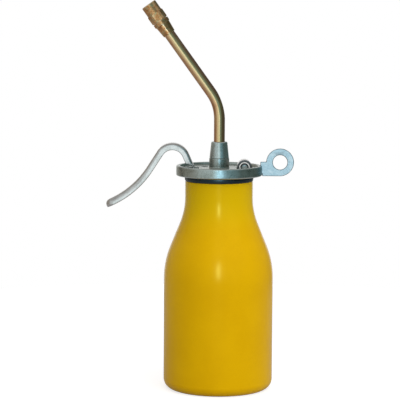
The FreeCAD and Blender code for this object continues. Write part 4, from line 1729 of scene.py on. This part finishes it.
# ------------------------------------------------------------------ studio
@dataclass(frozen=True)
class StripLamp:
    """A lamp that only the gloss of chosen pieces mirrors, with its power in watts."""

    name: str
    power: float
    tint: Colour
    size: tuple[float, float]
    place: tuple[float, float, float]
    pieces: tuple[str, ...]
    target: tuple[float, float, float] = (0.0, 0.0, 0.11)

    def hang(self) -> None:
        """Hang the lamp, turned towards the can, with nothing to mirror it yet."""
        data = bpy.data.lights.new(self.name, "AREA")
        data.shape = "RECTANGLE"
        data.energy = self.power
        data.color = self.tint
        data.size, data.size_y = self.size
        lamp = bpy.data.objects.new(self.name, data)
        bpy.context.scene.collection.objects.link(lamp)
        lamp.location = self.place
        lamp.rotation_euler = (Vector(self.target) - lamp.location).to_track_quat("-Z", "Y").to_euler()
        lamp.visible_diffuse = False
        lamp.light_linking.receiver_collection = bpy.data.collections.new(self.name)

    def join(self) -> None:
        """Let the lamp's pieces mirror it, once they are built."""
        for piece in self.pieces:
            bpy.data.collections[self.name].objects.link(bpy.data.objects[piece])


@dataclass
class Studio:
    """Floor, world, lamps and camera, in metres.

    Rough surfaces see the ambient tone. Gloss mirrors a room with a tone on the left, aside of
    the middle, on the right, above and in front, with a bright slit; a window and a slit are
    given by where they fade in and where they fade out.
    """

    floor_radius: float = 0.42
    floor_base: float = 0.5
    floor_mirrored: float = 0.06
    floor_seen: float = 0.72
    ambient: Colour = (0.56, 0.56, 0.57)
    left: Colour = (0.42, 0.40, 0.36)
    aside: Colour = (0.26, 0.44, 0.5)
    right: Colour = (0.12, 0.17, 0.16)
    above: Colour = (0.50, 0.52, 0.52)
    front: Colour = (0.78, 0.86, 0.88)
    strip: Colour = (1.25, 1.45, 1.5)
    eye: tuple[float, float, float] = (-0.01173, -1.1834, 0.2507)
    pitch: float = 6.4
    roll: float = 0.35
    lens: float = 172.8
    key_power: float = 1.55
    key_spread: float = 70.0
    key_way: tuple[float, float, float] = (-0.47, 0.88, -0.58)
    window: tuple[float, float, float, float] = (-0.95, -0.75, 0.22, 0.08)
    slit: tuple[float, float, float, float] = (-0.3, -0.16, 0.14, 0.04)
    strips: tuple[StripLamp, ...] = (
        StripLamp(
            "sheen", 8.0, (0.72, 0.94, 1.0), (0.1, 0.42), (-0.01, -1.25, 0.31), ("bottle_shell", "neck_ring")
        ),
        StripLamp("gleam", 2.2, (0.31, 0.58, 1.0), (0.1, 0.16), (0.19, -1.25, -0.03), ("nozzle_collar",)),
        StripLamp("glint", 1.0, (0.25, 0.66, 1.0), (0.34, 0.3), (0.02, -1.25, 0.0), ("head_casting",)),
        StripLamp("glow", 1.3, (0.85, 0.9, 1.0), (0.9, 0.9), (1.0, -0.5, 0.95), ("nozzle_tip",)),
    )

    def build_world(self) -> None:
        """Light softly all round; gloss sees a bright front, a brownish left and a dark right."""
        world = bpy.data.worlds.new("studio")
        bpy.context.scene.world = world
        recipe = Recipe(world)
        way = recipe.node("ShaderNodeTexCoord", output="Generated")
        x, y, z = (recipe.axis(way, number) for number in range(3))
        facing = y.ramp(0.1, -0.1)
        window = x.ramp(*self.window[:2]) * x.ramp(*self.window[2:]) * facing
        slit = x.ramp(*self.slit[:2]) * x.ramp(*self.slit[2:]) * facing
        rightwards = x.ramp(-0.1, 0.15)
        room = recipe.mix(rightwards, self.left, self.right)
        room = recipe.mix(rightwards * x.ramp(0.88, 0.5) * facing, room, self.aside)
        room = recipe.mix(window, room, self.front)
        room = recipe.mix(slit, room, self.strip)
        room = recipe.mix(z.ramp(0.5, 0.8), room, self.above)
        room = recipe.mix(y.ramp(0.88, 0.96), room, (1.0, 1.0, 1.0))
        path = {name: recipe.node("ShaderNodeLightPath", output=name) for name in (
            "Is Camera Ray", "Is Glossy Ray", "Is Transmission Ray",
        )}
        seen = path["Is Glossy Ray"].peak(path["Is Transmission Ray"])
        colour = recipe.mix(seen, self.ambient, room)
        colour = recipe.mix(path["Is Camera Ray"], colour, (1.0, 1.0, 1.0))
        shader = recipe.node("ShaderNodeBackground", None, {"Color": colour, "Strength": 1.0})
        recipe.node("ShaderNodeOutputWorld", None, {"Surface": shader}, None)

    def build_floor(self) -> None:
        """Lay a pale round floor that shows white and keeps the can's soft shadow."""
        made = bmesh.new()
        rim = [Vector((math.cos(turn), math.sin(turn), 0.0)) for turn in even_angles(96)]
        made.faces.new([made.verts.new(out * (self.floor_radius / MM)) for out in rim])
        floor = Workpiece("floor", made).object
        material, recipe = new_recipe("pale_floor")
        diffuse = recipe.node("ShaderNodeBsdfDiffuse", None, {"Color": (self.floor_base,) * 3})
        direct = recipe.node("ShaderNodeLightPath", output="Is Camera Ray")
        glossy = recipe.node("ShaderNodeLightPath", output="Is Glossy Ray")
        tone = recipe.mix(glossy, (0.0, 0.0, 0.0), (self.floor_mirrored,) * 3)
        tone = recipe.mix(direct, tone, (self.floor_seen,) * 3)
        glow = recipe.node("ShaderNodeEmission", None, {"Color": tone, "Strength": 1.0})
        both = recipe.node("ShaderNodeAddShader", None, {0: diffuse, 1: glow})
        recipe.node("ShaderNodeOutputMaterial", None, {"Surface": both}, None)
        floor.data.materials.append(material)

    def build_lamps(self) -> None:
        """Hang a soft key on the right, which gloss doesn't mirror, and the strips."""
        data = bpy.data.lights.new("key", "SUN")
        data.energy = self.key_power
        data.angle = math.radians(self.key_spread)
        key = bpy.data.objects.new("key", data)
        bpy.context.scene.collection.objects.link(key)
        key.rotation_euler = Vector(self.key_way).to_track_quat("-Z", "Y").to_euler()
        key.visible_glossy = False
        for strip in self.strips:
            strip.hang()

    def build_camera(self) -> None:
        """Set up the long-lens camera in front of the can."""
        data = bpy.data.cameras.new("camera")
        data.sensor_width = 36.0
        data.lens = self.lens
        data.clip_end = 100.0
        camera = bpy.data.objects.new("camera", data)
        bpy.context.scene.collection.objects.link(camera)
        level = Matrix.Rotation(math.radians(90 - self.pitch), 4, "X")
        roll = Matrix.Rotation(math.radians(self.roll), 4, "Z")
        camera.matrix_world = Matrix.Translation(self.eye) @ level @ roll
        bpy.context.scene.camera = camera

    def build(self) -> None:
        """Set up the whole studio."""
        bpy.context.scene.view_settings.view_transform = "Standard"
        self.build_world()
        self.build_floor()
        self.build_lamps()
        self.build_camera()


# ------------------------------------------------------------------ assembly
def make_finishes() -> dict[str, bpy.types.Material]:
    """Make one material for each of the record's slots.

    Returns:
        The materials by the names of their slots.
    """
    lean = Spout.lean
    collar_end = Spout.bend_height * math.cos(math.radians(lean)) + Spout.joint - 0.1
    made = [
        PlasticFinish(
            "bottle_plastic", (0.77, 0.445, 0.0012), (0.73, 0.41, 0.001),
            shine=(0.2, 0.24), gloss=0.15, sheen_tone=(1.0, 0.88, 0.2), wave_depth=0.02,
            # The neck's tone is painted shade under the head.
            neck_shade_tone=(0.71, 0.46, 0.0015),
        ),
        PlasticFinish(
            "seal_rubber", (0.006, 0.009, 0.013), (0.003, 0.005, 0.007),
            shine=(0.3, 0.42), cloud_size=5.0, edge_tint=0.3, sheen_tone=(0.55, 0.85, 1.0),
        ),
        BushFinish("bush_plastic", (0.82, 0.83, 0.8), (0.02, 0.022, 0.024), ThumbLever.hinge),
        PlasticFinish(
            "suction_plastic", (0.8, 0.82, 0.78), (0.74, 0.76, 0.7),
            shine=(0.25, 0.35), cloud_size=6.0, clear=0.35,
        ),
        MetalFinish(
            "head_zinc", (0.44, 0.48, 0.45), (0.27, 0.3, 0.27), (0.3, 0.31, 0.26), (0.52, 0.56, 0.54),
            shine=(0.24, 0.34), grain_size=0.55, grain_depth=0.03,
        ),
        MetalFinish(
            "nut_zinc", (0.5, 0.56, 0.55), (0.34, 0.38, 0.36), (0.36, 0.36, 0.32), (0.62, 0.67, 0.66),
            shine=(0.22, 0.34), grain_size=0.45, grain_depth=0.015,
        ),
        MetalFinish(
            # The dark edge colour is painted shade along the plate's outline.
            "eye_zinc", (0.56, 0.69, 0.76), (0.42, 0.55, 0.62), (0.7, 0.78, 0.82), (0.1, 0.12, 0.14),
            shine=(0.28, 0.38), grain=Grain.ROLLED, grain_size=0.6, grain_depth=0.012,
            cloud_size=5.0, patch_share=0.6,
        ),
        MetalFinish(
            # The dark edge colour is painted shade along the folds and edges; the cut colour is painted shade
            # on the rolled eye's sides.
            "lever_zinc", (0.7, 0.67, 0.65), (0.5, 0.48, 0.46), (0.4, 0.39, 0.36), (0.26, 0.26, 0.26),
            shine=(0.2, 0.32), grain=Grain.ROLLED, grain_depth=0.014, cut=(0.12, 0.125, 0.13),
        ),
        MetalFinish(
            "bright_steel", (0.62, 0.62, 0.61), (0.5, 0.5, 0.5), (0.42, 0.4, 0.38), (0.8, 0.8, 0.8),
            shine=(0.22, 0.34), grain=Grain.TURNED, grain_size=0.3, grain_depth=0.01,
        ),
        MetalFinish(
            "pump_brass", (0.72, 0.52, 0.22), (0.58, 0.4, 0.15), (0.5, 0.3, 0.12), (0.86, 0.66, 0.32),
            shine=(0.2, 0.32), grain=Grain.TURNED, grain_size=0.3, grain_depth=0.01,
        ),
        TubeFinish(
            "spout_chromate",
            # Tones from the left side to the right; the darker ends are painted shade.
            ((0.42, 0.2, 0.1), (0.68, 0.42, 0.22), (0.66, 0.52, 0.28), (0.5, 0.32, 0.15), (0.44, 0.21, 0.14)),
            stain=(0.62, 0.48, 0.22), lean=lean, bend_height=Spout.bend_height, radius=Spout.tube_radius,
        ),
        MetalFinish(
            "nozzle_brass", (0.62, 0.34, 0.15), (0.36, 0.15, 0.05), (0.37, 0.34, 0.18), (0.8, 0.6, 0.36),
            shine=(0.18, 0.28), grain_depth=0.04, cloud_size=2.2, patch_share=0.8,
            lean=lean, dull_from=collar_end,
        ),
    ]
    return {finish.name: finish.material() for finish in made}


def main() -> None:
    """Build the studio and every sub-assembly in order."""
    logging.basicConfig(level=logging.INFO, format="%(message)s")
    studio = Studio()
    studio.build()
    bpy.context.view_layer.update()
    plain = {slot.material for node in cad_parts.values() for slot in node.material_slots}
    for material in plain:
        material.name = material.name + ".frame"
    finishes = make_finishes()
    Bottle().build(finishes["bottle_plastic"])
    NeckSeal().build(finishes["seal_rubber"])
    HeadCasting().build(finishes["head_zinc"])
    HangingEye().build(finishes["eye_zinc"])
    ThumbLever().build(finishes["lever_zinc"])
    spout = Spout()
    spout.build_nut(finishes["nut_zinc"])
    spout.build_tube(finishes["spout_chromate"])
    spout.build_adapter(finishes["nozzle_brass"])
    Nozzle(spout=spout).build(finishes["nozzle_brass"])
    ReturnSpring().build(finishes["bright_steel"])
    Workings().dress(finishes)
    for strip in studio.strips:
        strip.join()


if __name__ == "__main__":
    main()
